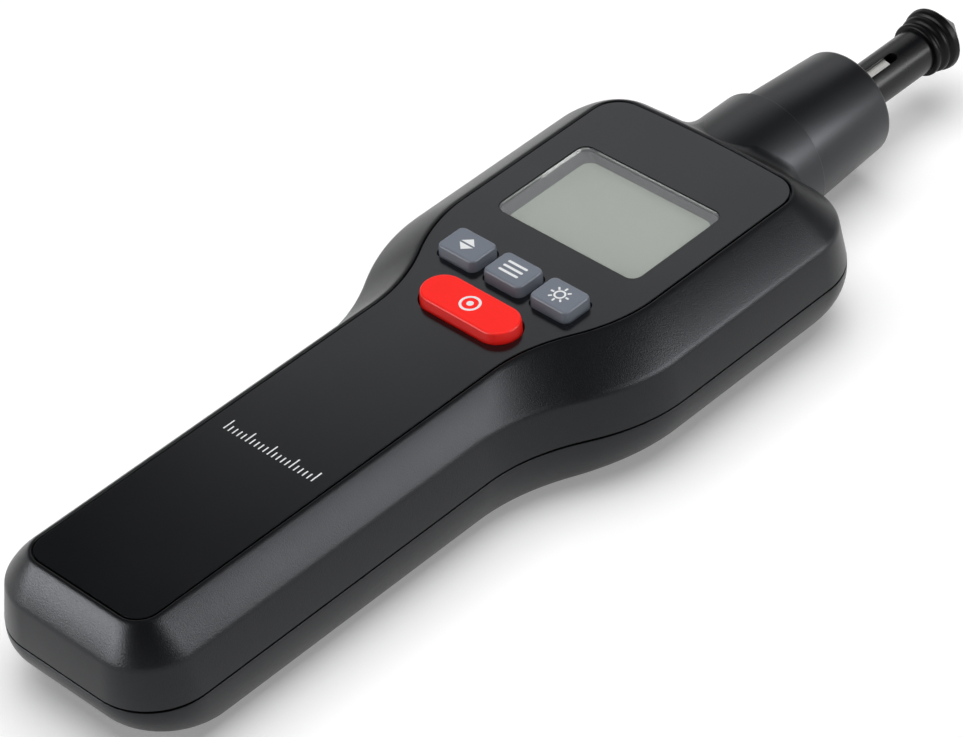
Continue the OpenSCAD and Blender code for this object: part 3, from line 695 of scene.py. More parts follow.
def use_group(tree: bpy.types.NodeTree, group: bpy.types.NodeTree, values: dict[str, object]) -> bpy.types.Node:
    """A node in a tree that uses a shared group with the given input values."""
    node = tree.nodes.new("ShaderNodeGroup")
    node.node_tree = group
    for label, value in values.items():
        node.inputs[label].default_value = value
    return node


def feed(tree: bpy.types.NodeTree, socket: bpy.types.NodeSocket, value: object) -> None:
    """Links a socket to an input, or sets the input to a number."""
    if isinstance(value, bpy.types.NodeSocket):
        tree.links.new(value, socket)
    else:
        socket.default_value = value


def math_node(tree: bpy.types.NodeTree, operation: str, *values: object) -> bpy.types.NodeSocket:
    """Result of a Math node whose inputs are sockets or numbers."""
    node = tree.nodes.new("ShaderNodeMath")
    node.operation = operation
    for number, value in enumerate(values):
        feed(tree, node.inputs[number], value)
    return node.outputs[0]


def noise(tree: bpy.types.NodeTree, vector: bpy.types.NodeSocket, scale: object, detail: float,
          roughness: float = 0.5) -> bpy.types.NodeSocket:
    """Factor of a Noise Texture on a vector, where the scale is a socket or a number."""
    node = tree.nodes.new("ShaderNodeTexNoise")
    node.inputs["Detail"].default_value = detail
    node.inputs["Roughness"].default_value = roughness
    tree.links.new(vector, node.inputs["Vector"])
    feed(tree, node.inputs["Scale"], scale)
    return node.outputs["Fac"]


def fine_grain_group() -> bpy.types.NodeTree:
    """Shared group: the height of a fine moulded grain, noise cells with rounded bumps over smaller noise."""
    name = "fine_grain"
    if name in bpy.data.node_groups:
        return bpy.data.node_groups[name]
    tree, start, end, place = new_group(name, {"Cell": ("NodeSocketFloat", 0.0004)}, {"Height": "NodeSocketFloat"})
    scale = math_node(tree, "DIVIDE", 1.0, start.outputs["Cell"])
    coarse = noise(tree, place, scale, 2.0, 0.6)
    fine = noise(tree, place, math_node(tree, "MULTIPLY", scale, 2.7), 1.0)
    total = math_node(tree, "ADD", coarse, math_node(tree, "MULTIPLY", fine, 0.4))
    tree.links.new(total, end.inputs["Height"])
    return tree


def brushed_group() -> bpy.types.NodeTree:
    """Shared group: the height of fine lathe marks, noise squeezed along Y so that it runs round the nose axis."""
    name = "brushed"
    if name in bpy.data.node_groups:
        return bpy.data.node_groups[name]
    tree, start, end, place = new_group(name, {"Cell": ("NodeSocketFloat", 0.0002)}, {"Height": "NodeSocketFloat"})
    stretch = tree.nodes.new("ShaderNodeVectorMath")
    stretch.operation = "MULTIPLY"
    stretch.inputs[1].default_value = (0.08, 1.0, 0.08)
    tree.links.new(place, stretch.inputs[0])
    scale = math_node(tree, "DIVIDE", 1.0, start.outputs["Cell"])
    tree.links.new(noise(tree, stretch.outputs[0], scale, 3.0), end.inputs["Height"])
    return tree


def tone_drift_group() -> bpy.types.NodeTree:
    """Shared group: a colour that gets slightly lighter and darker in soft clouds, and a roughness that follows."""
    name = "tone_drift"
    if name in bpy.data.node_groups:
        return bpy.data.node_groups[name]
    inputs = {"Colour": ("NodeSocketColor", (0.5, 0.5, 0.5, 1.0)), "Size": ("NodeSocketFloat", 0.03),
              "Amount": ("NodeSocketFloat", 0.1), "Roughness": ("NodeSocketFloat", 0.4),
              "Uneven": ("NodeSocketFloat", 0.05)}
    outputs = {"Colour": "NodeSocketColor", "Roughness": "NodeSocketFloat"}
    tree, start, end, place = new_group(name, inputs, outputs)
    cloud = noise(tree, place, math_node(tree, "DIVIDE", 1.0, start.outputs["Size"]), 4.0, 0.6)
    centred = math_node(tree, "MULTIPLY", math_node(tree, "SUBTRACT", cloud, 0.5), 2.0)
    factor = math_node(tree, "ADD", 1.0, math_node(tree, "MULTIPLY", centred, start.outputs["Amount"]))
    shade = tree.nodes.new("ShaderNodeVectorMath")
    shade.operation = "SCALE"
    tree.links.new(start.outputs["Colour"], shade.inputs[0])
    tree.links.new(factor, shade.inputs["Scale"])
    tree.links.new(shade.outputs[0], end.inputs["Colour"])
    shift = math_node(tree, "MULTIPLY", centred, start.outputs["Uneven"])
    tree.links.new(math_node(tree, "ADD", start.outputs["Roughness"], shift), end.inputs["Roughness"])
    return tree


def glass_material(name: str, colour: tuple[float, float, float], roughness: float) -> bpy.types.Material:
    """Clear or tinted plastic that lets shadow rays through.

    Args:
        name: Name of the material.
        colour: Linear tint.
        roughness: Roughness of the surface.

    Returns:
        The material.
    """
    made, tree, shader = new_material(name)
    shader.inputs["Base Color"].default_value = (*colour, 1.0)
    shader.inputs["Transmission Weight"].default_value = 1.0
    shader.inputs["IOR"].default_value = PLASTIC_IOR
    drift = use_group(tree, tone_drift_group(), {"Roughness": roughness, "Uneven": roughness / 2, "Size": 0.02})
    tree.links.new(drift.outputs["Roughness"], shader.inputs["Roughness"])
    path = tree.nodes.new("ShaderNodeLightPath")
    clear = math_node(tree, "SUBTRACT", 1.0, path.outputs["Is Shadow Ray"])
    tree.links.new(clear, shader.inputs["Alpha"])
    return made


@dataclass
class Finishes:
    """All materials of the part, made once."""

    shell: Finish = Finish("grained_black", (0.0045, 0.0048, 0.0055), 0.32, 0.32, cell=0.0003, depth=0.00004,
                           sheen=COOL)
    panel: Finish = Finish("panel_black", (0.0028, 0.0032, 0.0038), 0.2, 0.5, cell=0.0006, depth=0.000001,
                           drift=0.06, sheen=COOL)
    keys: Finish = Finish("key_slate", (0.158, 0.178, 0.215), 0.4, 0.35, cell=0.0005, depth=0.000004, drift=0.05)
    red: Finish = Finish("key_red", (1.0, 0.012, 0.007), 0.38, 0.3, cell=0.0006, depth=0.000003, drift=0.04)
    prints: Finish = Finish("print_white", (0.80, 0.81, 0.82), 0.5, 0.4, cell=0.0003, depth=0.000002, drift=0.04)
    bezel: Finish = Finish("bezel_grey", (0.032, 0.0345, 0.039), 0.5, 0.2, cell=0.0005, depth=0.000004)
    screen: Finish = Finish("screen_grey", (0.165, 0.178, 0.16), 0.4, 0.15, pattern=Pattern.PLAIN,
                            drift=0.03, drift_size=0.02)
    nose: Finish = Finish("nose_black", (0.005, 0.0053, 0.006), 0.35, 0.5, cell=0.0004, depth=0.000006,
                          sheen=COOL)
    sleeve: Finish = Finish("sleeve_black", (0.004, 0.0043, 0.005), 0.28, 0.3, cell=0.0003, depth=0.000004)
    rubber: Finish = Finish("rubber_black", (0.0022, 0.0022, 0.0026), 0.38, 0.17, cell=0.0005, depth=0.000012)
    dome: Finish = Finish("dome_rubber", (0.35, 0.35, 0.34), 0.6, 0.3)
    steel: Finish = Finish("turned_steel", (0.62, 0.61, 0.59), 0.3, 0.5, metallic=1.0, pattern=Pattern.BRUSHED,
                           cell=0.0002, depth=0.000003, drift=0.05)
    shaft: Finish = Finish("bright_steel", (0.84, 0.83, 0.8), 0.38, 0.5, metallic=0.55, cell=0.0002, depth=0.000002,
                           drift=0.04)
    zinc: Finish = Finish("zinc_screws", (0.5, 0.51, 0.53), 0.34, 0.5, metallic=1.0, cell=0.0003, depth=0.000003)
    brass: Finish = Finish("brass", (0.72, 0.52, 0.24), 0.3, 0.5, metallic=1.0, pattern=Pattern.BRUSHED,
                           cell=0.0002, depth=0.000002)
    board: Finish = Finish("board_green", (0.02, 0.11, 0.05), 0.35, 0.5, coat=0.3, cell=0.0012, depth=0.000004,
                           drift=0.2, drift_size=0.004)
    chips: Finish = Finish("chip_black", (0.02, 0.02, 0.022), 0.5, 0.4, cell=0.0002, depth=0.000006)
    light_guide: Finish = Finish("light_guide", (0.75, 0.78, 0.74), 0.3, 0.5, cell=0.0008, depth=0.000002)
    wrap: Finish = Finish("battery_wrap", (0.05, 0.055, 0.07), 0.28, 0.5, coat=0.4, cell=0.001, depth=0.000004)
    reflector: Finish = Finish("reflector", (0.7, 0.72, 0.74), 0.25, 0.6, metallic=0.6, cell=0.0003,
                               depth=0.000006)
    made: dict[str, bpy.types.Material] = field(default_factory=dict)

    def __getitem__(self, name: str) -> bpy.types.Material:
        """The material of a finish, by the finish's field name."""
        if name not in self.made:
            self.made[name] = getattr(self, name).material()
        return self.made[name]

    def window(self) -> bpy.types.Material:
        """Clear plastic of the display window."""
        return glass_material("window_clear", (0.97, 0.98, 0.975), 0.02)

    def filter(self) -> bpy.types.Material:
        """Dark red plastic in front of the laser and the sensor."""
        return glass_material("filter_red", (0.5, 0.02, 0.03), 0.03)


# Pieces

def eased_profile(corners: list[tuple[float, float, float]], steps: int = 5) -> list[tuple[float, float]]:
    """A turned profile whose corners are rounded.

    Args:
        corners: Radius, place along the axis and reach of each corner; a reach of 0 keeps it sharp.
        steps: Steps of each rounded corner.

    Returns:
        Points of the closed profile.
    """
    points = []
    places = np.array([corner[:2] for corner in corners], float)
    t = np.linspace(0, 1, steps + 1)[:, None]
    for number, (_, _, reach) in enumerate(corners):
        here = places[number]
        if not reach:
            points.append(tuple(here))
            continue
        before, after = places[number - 1], places[(number + 1) % len(places)]
        start = here + (before - here) * min(reach / np.linalg.norm(before - here), 0.5)
        end = here + (after - here) * min(reach / np.linalg.norm(after - here), 0.5)
        points += [tuple(at) for at in bezier(start, here, end, t)]
    return points


def nose_turned(name: str, corners: list[tuple[float, float, float]]) -> bpy.types.Object:
    """Solid turned about the nose axis, from corners counted from the tail."""
    profile = [(radius, place + TAIL_Y) for radius, place in eased_profile(corners)]
    return turned_solid(name, profile, True, (0.0, AXIS_Z), 144)


def nose_cylinder(name: str, start: float, end: float, radius: float) -> bpy.types.Object:
    """Cylinder about the nose axis between two places counted from the tail."""
    return nose_turned(name, [(0, start, 0), (radius, start, 0), (radius, end, 0), (0, end, 0)])


def upright_cylinder(name: str, x: float, y: float, low: float, high: float, radius: float) -> bpy.types.Object:
    """Cylinder along Z at a place counted from the tail."""
    return turned_solid(name, [(0, low), (radius, low), (radius, high), (0, high)], False, (x, y + TAIL_Y), 48)


def block(name: str, low: tuple[float, float, float], high: tuple[float, float, float]) -> bpy.types.Object:
    """Rectangular cutter between two corners, with Y counted from the tail."""
    x, y = (low[0], high[0]), (low[1] + TAIL_Y, high[1] + TAIL_Y)
    outline = np.array([[x[0], y[0]], [x[1], y[0]], [x[1], y[1]], [x[0], y[1]]])
    return prism(name, outline, low[2], high[2])


@dataclass(frozen=True)
class Keys:
    """Sizes and places of the four keys, in millimetres."""

    size: tuple[float, float, float] = (10.6, 8.2, 1.6)
    pitch: float = 12.7
    row: float = 124.9
    measure: tuple[float, float, float] = (24.8, 9.8, 4.85)
    measure_at: tuple[float, float] = (0.8, 111.6)
    gap: float = 0.3
    flange: float = 0.7
    flange_low: float = 28.05
    flange_top: float = 28.95
    top: float = 34.42
    soft: float = 0.75
    skirt_draft: float = 0.13
    edge_start: float = 0.16
    edge_slope: float = 0.12
    edge_share: float = 0.66
    least_corner: float = 0.6
    print_rise: float = 0.03

    def holes(self, low: float, high: float) -> list[bpy.types.Object]:
        """Cutters for the openings of the keys between two heights."""
        width, length, radius = self.size
        wide, long, round_end = self.measure
        gap = self.gap
        small = rounded_outline(width + 2 * gap, length + 2 * gap, radius + gap)
        large = rounded_outline(wide + 2 * gap, long + 2 * gap, round_end + gap - HAIR)
        made = [prism("hole", small, low, high, (step * self.pitch, self.row + TAIL_Y)) for step in (-1, 0, 1)]
        x, y = self.measure_at
        return made + [prism("hole", large, low, high, (x, y + TAIL_Y))]

    def cap(self, name: str, size: tuple[float, float, float], at: tuple[float, float]) -> bpy.types.Object:
        """A key cap: flange, slightly drafted skirt, soft upper edge and flat top.

        Args:
            name: Name of the piece.
            size: Width, length and corner radius.
            at: Middle of the key, with Y counted from the tail.

        Returns:
            The cap.
        """
        width, length, radius = size
        soft = self.soft
        t = np.linspace(0, 1, 9)
        edge_in = self.edge_start + soft * self.edge_share * t ** 2 + self.edge_slope * t
        edge_z = self.top - soft + soft * (1 - (1 - t) ** 2)
        steps = [(-self.flange, self.flange_low), (-self.flange, self.flange_top), (0, self.flange_top),
                 (0, self.flange_top + HAIR), (self.skirt_draft, self.top - soft - HAIR)]
        steps += list(zip(edge_in, edge_z))
        most = radius * self.least_corner
        rings = [lifted(rounded_outline(width - 2 * inward, length - 2 * inward, radius - min(inward, most)), z)
                 for inward, z in steps]
        rings += [rings[-1] * (share, share, 1) for share in (0.7, 0.35)]
        moved = np.stack(rings) + (at[0], at[1] + TAIL_Y, 0)
        made = ring_solid(name, moved)
        weld(made)
        return made

    def build(self, finishes: Finishes) -> None:
        """Builds the caps and their prints."""
        for step, node in ((-1, "mode_key"), (0, "memory_key"), (1, "light_key")):
            made = self.cap(node + "_cap", self.size, (step * self.pitch, self.row))
            soften(made, KEY_SHARP_ANGLE)
            dress(made, finishes["keys"], node, (node,))
        made = self.cap("measure_key_cap", self.measure, self.measure_at)
        soften(made, KEY_SHARP_ANGLE)
        dress(made, finishes["red"], "measure_key", ("measure_key",))
        self.signs(finishes)

    def signs(self, finishes: Finishes) -> None:
        """Prints a generic sign on each key: triangles, bars, a lamp with rays, and a ring with a dot."""
        low, high = self.top - self.print_rise, self.top + self.print_rise
        signs = {
            "mode_key": ((-self.pitch, self.row), "small_key", [
                np.array([[-2.3, 0.25], [2.3, 0.25], [0, 1.95]]) * (0.8, 1),
                np.array([[2.3, -0.25], [-2.3, -0.25], [0, -1.95]]) * (0.8, 1)], []),
            "memory_key": ((0.0, self.row), "small_key", [
                rounded_outline(5.2, 0.62, 0.28, 4) + (0, y) for y in (-1.45, 0, 1.45)], []),
            "light_key": ((self.pitch, self.row), "small_key", [
                turned_outline(rounded_outline(0.85, 0.44, 0.12, 3) + (1.95, 0), a) for a in range(0, 360, 45)],
                [(0.88, 1.3)]),
            "measure_key": (self.measure_at, "measure_key", [circle_outline(0.75)], [(1.75, 2.3)]),
        }
        for node, ((x, y), slot, outlines, rings) in signs.items():
            parts = [prism("sign", outline, low, high, (x, y + TAIL_Y)) for outline in outlines]
            parts += [turned_solid("sign", [(a, low), (b, low), (b, high), (a, high)], False,
                                   (x, y + TAIL_Y), 64) for a, b in rings]
            made = join(node + "_sign", parts)
            soften(made)
            dress(made, finishes["prints"], node)


def circle_outline(radius: float, steps: int = 48) -> np.ndarray:
    """Circle about the origin as an array of shape (steps, 2)."""
    angle = np.linspace(0, 2 * np.pi, steps, endpoint=False)
    return radius * np.column_stack([np.cos(angle), np.sin(angle)])


def turned_outline(outline: np.ndarray, degrees: float) -> np.ndarray:
    """The outline turned about the origin."""
    c, s = math.cos(math.radians(degrees)), math.sin(math.radians(degrees))
    return outline @ np.array([[c, s], [-s, c]])


@dataclass(frozen=True)
class Housing:
    """The two shells, the battery door and the front panel."""

    form: ShellForm = ShellForm()
    keys: Keys = Keys()
    window: tuple[float, float, float] = WINDOW
    window_y: float = WINDOW_Y
    opening: tuple[float, float] = (41.8, 30.9)
    barrel: tuple[float, float] = (185.4, 15.25)
    tube_r: float = 12.4
    rib: tuple[float, float] = (34.0, 1.6)
    screws: tuple[tuple[float, float], ...] = ((18.3, 30.0), (28.4, 137.0), (28.4, 176.0))
    screw_r: float = 1.5
    head: tuple[float, float] = (2.85, 6.0)
    boss: tuple[float, float, float] = (3.2, 10.5, 1.3)
    pillar_r: float = 3.6
    door: tuple[float, float, float] = (28.4, 88.0, 6.0)
    door_gap: float = 0.25
    tabs: tuple[float, ...] = (46.0, 76.0)
    tab: tuple[float, float, float] = (1.3, 5.0, 1.0)
    tab_z: float = 2.9
    slide: float = 6.0
    grip: tuple[float, float, float] = (14.0, 58.0, 2.4)
    grip_count: int = 5
    grip_deep: float = 0.4
    ticks: tuple[float, float, float] = (24.0, 55.8, 1.2)
    tick: tuple[float, float] = (0.3, 0.1)
    tick_heights: tuple[float, float] = (3.0, 1.7)
    tick_group: int = 5
    tick_ends: tuple[float, float] = (-0.01, 0.03)
    tab_root: float = 0.8
    panel_edge: float = 0.14
    blend: tuple[float, float] = (2.2, 3.2)
    blend_room: float = 0.3
    blend_sunk: float = 0.35
    blend_past: float = 1.5
    blend_least: float = 0.05

    def build(self, finishes: Finishes) -> None:
        """Builds the housing's pieces."""
        self.upper(finishes)
        self.lower(finishes)
        self.battery_door(finishes)
        self.panel(finishes)
        self.scale_print(finishes)

    @property
    def screw_places(self) -> list[tuple[float, float]]:
        """Places of the six case screws, in pairs from the tail."""
        return [(side * x, y) for x, y in self.screws for side in (-1, 1)]

    def bores(self) -> list[bpy.types.Object]:
        """Cutters for the nose barrel and its tube."""
        start, radius = self.barrel
        rib = self.rib[1]
        return [nose_cylinder("bore", start, self.form.length + 2 * OVER, radius + HAIR),
                nose_cylinder("bore", start - rib - OVER, start + OVER, self.tube_r + HAIR)]

    def upper(self, finishes: Finishes) -> None:
        """Upper shell with the openings for the display, the keys and the barrel."""
        form = self.form
        made = form.solid("upper_shell_skin", form.upper_levels())
        opening = rounded_outline(*self.opening, self.window[2])
        tools = [prism("opening", opening, form.ceiling - OVER, form.floor + OVER, (0, self.window_y + TAIL_Y))]
        tools += self.keys.holes(form.ceiling - OVER, form.floor + OVER)
        cut(made, tools + self.bores())
        outer, tall, bore = self.boss
        bosses = [tube("boss", x, y, form.seam, form.seam + tall, outer, bore) for x, y in self.screw_places]
        soften(made)
        whole = join("upper_shell_skin", [made, self.root_blend()] + bosses)
        dress(whole, finishes["shell"], "housing", ("upper_shell",))

    def root_blend(self) -> bpy.types.Object:
        """Hollow blend between the shell's nose and the barrel.

        At each angle round the barrel a curve bends from the nose surface, read further out, up to the barrel's
        side. Its reach shrinks where the shell's top cuts it off.
        """
        reach, rise = self.blend
        radius = self.barrel[1]
        angle = np.radians(np.linspace(-self.blend_past, 180 + self.blend_past, 90))[:, None]
        room = (self.form.top - self.blend_room - AXIS_Z) / np.maximum(np.sin(angle), self.blend_least)
        out = np.minimum(radius + reach, room)
        share = (out - radius) / reach

        def nose(distance: np.ndarray) -> np.ndarray:
            """Place of the nose surface at a distance from the barrel's axis."""
            return self.form.nose_place(distance * np.cos(angle), AXIS_Z + distance * np.sin(angle))

        low, root = nose(out), nose(radius)
        t = np.linspace(0, 1, 13)
        away = bezier(out, radius, radius, t)
        along = bezier(low, root, root + rise * share, t)
        sunk = self.blend_sunk
        away = np.concatenate([out, away, np.full_like(out, radius - sunk), np.full_like(out, radius - sunk)], axis=1)
        along = np.concatenate([low - sunk, along, along[:, -1:], low - sunk], axis=1)
        rings = np.stack([away * np.cos(angle), along, AXIS_Z + away * np.sin(angle)], axis=-1)
        made = ring_solid("root_blend", rings)
        close_up(made)
        soften(made)
        return made

    def lower(self, finishes: Finishes) -> None:
        """Lower shell with the door's opening, the screw holes and the barrel's seat."""
        form = self.form
        made = form.solid("lower_shell_skin", form.lower_levels())
        width, length, lip = self.door
        gap = self.door_gap
        tools = [block("door", (-width / 2 - gap, -OVER, -OVER), (width / 2 + gap, length + gap, lip + gap))]
        tools += [upright_cylinder("head", x, y, -OVER, self.head[1], self.head[0]) for x, y in self.screw_places]
        cut(made, tools + self.bores())
        soften(made)
        pillars = [tube("pillar", x, y, self.head[1], form.seam, self.pillar_r, self.screw_r)
                   for x, y in self.screw_places[2:]]
        whole = join("lower_shell_skin", [made] + pillars)
        dress(whole, finishes["shell"], "housing", ("lower_shell",))

    def battery_door(self, finishes: Finishes) -> None:
        """Battery door, cut out of the lower shell's form, with its grip grooves and its tabs."""
        form = self.form
        made = form.solid("battery_door_skin", form.lower_levels())
        width, length, lip = self.door
        cut(made, [block("door", (-width / 2, -OVER, -OVER), (width / 2, length, lip))], "INTERSECT")
        grip_w, grip_y, pitch = self.grip
        grooves = [block("groove", (-grip_w / 2, grip_y + i * pitch, -OVER),
                         (grip_w / 2, grip_y + i * pitch + pitch / 2, self.grip_deep)) for i in range(self.grip_count)]
        cut(made, grooves)
        soften(made)
        reach, long, thick = self.tab
        tabs = []
        for side in (-1, 1):
            for y in self.tabs:
                edge = side * width / 2
                inner, outer = sorted((edge - side * self.tab_root, edge + side * reach))
                tabs.append(block("tab", (inner, y, self.tab_z), (outer, y + long, self.tab_z + thick)))
                near, far = sorted((edge - side * self.tab_root, edge))
                tabs.append(block("root", (near, y, form.wall - HAIR), (far, y + long, self.tab_z + thick / 2)))
        whole = join("battery_door_skin", [made] + tabs)
        dress(whole, finishes["shell"], "battery_door", ("battery_door",))

    def panel(self, finishes: Finishes) -> None:
        """Front panel with softly broken edges and openings for the window and the keys."""
        form = self.form
        edge = self.panel_edge
        base = inset(form.recess_level, form.groove, 0)
        rise = [inset(base, 0, form.floor)] + curve(inset(base, 0, form.top - edge), inset(base, 0, form.top),
                                                   inset(base, edge, form.top), 4)
        made = form.solid("front_panel_plate", rise)
        tools = [prism("window", rounded_outline(*self.window), form.floor - OVER, form.top + OVER,
                       (0, self.window_y + TAIL_Y))]
        cut(made, tools + self.keys.holes(form.floor - OVER, form.top + OVER))
        soften(made)
        dress(made, finishes["panel"], "housing", ("front_panel",))

    def scale_print(self, finishes: Finishes) -> None:
        """A fine printed row of ticks across the handle, the first of each group longer."""
        width, place, pitch = self.ticks
        thick, corner = self.tick
        low, high = (self.form.top + end for end in self.tick_ends)
        parts = []
        for number in range(round(width / pitch) + 1):
            tall = self.tick_heights[number % self.tick_group > 0]
            at = (-width / 2 + number * pitch, place + tall / 2 + TAIL_Y)
            parts.append(prism("tick", rounded_outline(thick, tall, corner, 2) + at, low, high))
        made = join("handle_ticks", parts)
        soften(made)
        dress(made, finishes["prints"], "housing")


def tube(name: str, x: float, y: float, low: float, high: float, outer: float, inner: float) -> bpy.types.Object:
    """Upright tube at a place counted from the tail."""
    made = turned_solid(name, [(inner, low), (outer, low), (outer, high), (inner, high)], False,
                        (x, y + TAIL_Y), 48)
    soften(made)
    return made


@dataclass(frozen=True)
class Display:
    """Clear window of the display and the grey frame that narrows down to the glass, in millimetres."""

    window: tuple[float, float, float] = WINDOW
    place: float = WINDOW_Y
    outer: tuple[float, float] = (41.3, 30.4)
    view: tuple[float, float] = (34.8, 25.8)
    glass_top: float = 28.6
    seat: float = 30.8
    lip: tuple[float, float, float] = (0.06, 0.22, 31.82)
    ledge: float = 0.5

    def outline(self, width: float, length: float, radius: float, height: float) -> np.ndarray:
        """Rounded outline at a height, in the window's place."""
        return lifted(rounded_outline(width, length, radius) + (0, self.place + TAIL_Y), height)

    def drawn_in(self, distance: float, height: float) -> np.ndarray:
        """The window's outline drawn in by a distance, at a height."""
        width, length, radius = self.window
        return self.outline(width - 2 * distance, length - 2 * distance, radius - distance, height)

    def build(self, finishes: Finishes) -> None:
        """Builds the frame with its thin lip, and the window inside the lip."""
        edge, thick, top = self.lip
        radius, seat = self.window[2], self.seat - HAIR
        rows = [self.outline(*self.outer, radius, self.glass_top), self.outline(*self.outer, radius, seat)]
        rows += [self.drawn_in(*at) for at in ((edge, seat), (edge, top), (thick, top), (thick, seat),
                                               (self.ledge, seat))]
        rows.append(self.outline(*self.view, radius, self.glass_top))
        made = loop_solid("display_frame", np.stack(rows))
        soften(made)
        dress(made, finishes["bezel"], "housing", ("display_bezel",))
        inside = thick + HAIR / 2
        pane = ring_solid("display_pane", np.stack([self.drawn_in(inside, self.seat), self.drawn_in(inside, top)]))
        close_up(pane)
        soften(pane)
        dress(pane, finishes.window(), "housing", ("display_window",))


@dataclass(frozen=True)
class Nose:
    """Barrel, adapter collar, slotted sleeve and rubber cone: corners of radius, place from the tail and reach."""

    barrel: tuple[tuple[float, float, float], ...] = (
        (10.4, 177.0, 0.0), (12.4, 177.0, 0.2), (12.4, 185.4, 0.0), (15.25, 185.4, 0.0), (15.25, 203.3, 0.2),
        (12.6, 203.3, 0.25), (12.6, 190.0, 0.0), (10.4, 190.0, 0.0))
    flange: tuple[float, float, float, float] = (12.3, 15.25, 181.6, 183.6)
    flange_heights: tuple[float, float] = (4.3, 25.4)
    cutter: tuple[float, float] = (20.0, 40.0)
    collar: tuple[tuple[float, float, float], ...] = (
        (10.6, 192.8, 0.2), (12.57, 192.8, 0.3), (12.57, 203.3, 0.0), (13.8, 203.3, 0.1), (12.35, 228.7, 1.15),
        (3.2, 228.7, 0.25), (3.2, 226.7, 0.0), (5.05, 226.7, 0.0), (5.05, 208.5, 0.0), (10.6, 208.5, 0.5))
    sleeve: tuple[tuple[float, float, float], ...] = (
        (4.13, 229.1, 0.1), (5.2, 229.1, 0.4), (5.2, 252.2, 0.0), (3.3, 252.2, 0.0), (3.3, 258.6, 0.3),
        (0.0, 258.6, 0.0), (0.0, 243.5, 0.0), (4.13, 243.5, 0.0))
    slot: tuple[float, float, float] = (2.2, 14.2, 72.0)
    cone: tuple[tuple[float, float, float], ...] = (
        (3.35, 252.2, 0.0), (6.2, 252.2, 0.5), (6.35, 253.3, 0.45), (5.6, 253.9, 0.3), (5.7, 254.4, 0.3),
        (6.6, 255.0, 0.45), (6.75, 255.9, 0.4), (6.2, 256.4, 0.25), (7.2, 257.0, 0.45), (7.4, 258.5, 0.35),
        (0.5, 265.2, 0.4), (0.0, 265.5, 0.0), (0.0, 258.65, 0.0), (3.35, 258.65, 0.0))

    def build(self, finishes: Finishes) -> None:
        """Builds the four turned pieces of the nose."""
        tube_piece = nose_turned("nose_barrel_skin", list(self.barrel))
        soften(tube_piece)
        inner, radius, start, end = self.flange
        low, high = self.flange_heights
        side, top = self.cutter
        ring = nose_turned("flange", [(inner, start, 0), (radius, start, 0), (radius, end, 0), (inner, end, 0)])
        cut(ring, [block("low", (-side, start - OVER, -OVER), (side, end + OVER, low)),
                   block("high", (-side, start - OVER, high), (side, end + OVER, top))])
        soften(ring)
        barrel = join("nose_barrel_skin", [tube_piece, ring])
        dress(barrel, finishes["nose"], "housing", ("nose_barrel",))
        collar = nose_turned("adapter_collar_skin", list(self.collar))
        soften(collar)
        dress(collar, finishes["nose"], "adapter", ("adapter_collar",))
        sleeve = nose_turned("tip_sleeve_skin", list(self.sleeve))
        cut(sleeve, [self.slot_cutter()])
        soften(sleeve)
        dress(sleeve, finishes["sleeve"], "tip", ("tip_sleeve",))
        cone = nose_turned("contact_cone_skin", list(self.cone))
        soften(cone)
        dress(cone, finishes["rubber"], "tip", ("contact_cone",))

    def slot_cutter(self) -> bpy.types.Object:
        """Cutter of the sleeve's slot: a round-ended bar that points out of the axis at the slot's angle."""
        width, length, degrees = self.slot
        start, end = self.sleeve[1][1] - OVER, self.sleeve[1][1] + length
        a = np.radians(np.linspace(-90, 90, 25))
        tip = np.column_stack([width / 2 * np.sin(a), end - width / 2 + width / 2 * np.cos(a)])
        outline = np.concatenate([tip, [[width / 2, start], [-width / 2, start]]])
        turn, across = math.radians(degrees), outline[:, 0]
        rings = []
        for reach in (0.0, self.sleeve[1][0] + OVER):
            x = reach * math.cos(turn) - across * math.sin(turn)
            z = reach * math.sin(turn) + across * math.cos(turn)
            rings.append(np.column_stack([x, outline[:, 1] + TAIL_Y, z + AXIS_Z]))
        made = ring_solid("slot", np.stack(rings))
        turn_outwards(made)
        return made


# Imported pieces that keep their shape

NODE_FINISHES = {
    "display_glass": "screen", "backlight_plate": "light_guide",
    "contact_strip": "dome", "main_board": "board", "board_parts": "chips", "board_screws": "zinc",
    "case_screws": "zinc", "battery": "wrap", "battery_contacts": "chips", "optics_holder": "nose",
    "laser_module": "brass", "light_sensor": "chips", "sensor_board": "board", "mode_dome": "dome",
    "memory_dome": "dome", "light_dome": "dome", "measure_dome": "dome", "rear_bearing": "steel",
    "bearing_spacer": "brass", "front_bearing": "steel", "spindle_shaft": "shaft", "marker_disc": "reflector",
    "retaining_clip": "zinc",
}


def dress_nodes(finishes: Finishes) -> None:
    """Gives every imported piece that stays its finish."""
    for node, name in NODE_FINISHES.items():
        set_material(node, finishes[name])
    set_material("nose_window", finishes.filter())
    set_material("sensor_lens", glass_material("lens_clear", (0.95, 0.97, 0.98), 0.02))


def set_material(node: str, finish: bpy.types.Material) -> None:
    """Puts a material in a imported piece's slots."""
    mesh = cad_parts[node].data
    mesh.materials.clear()
    mesh.materials.append(finish)


# Camera, light and floor

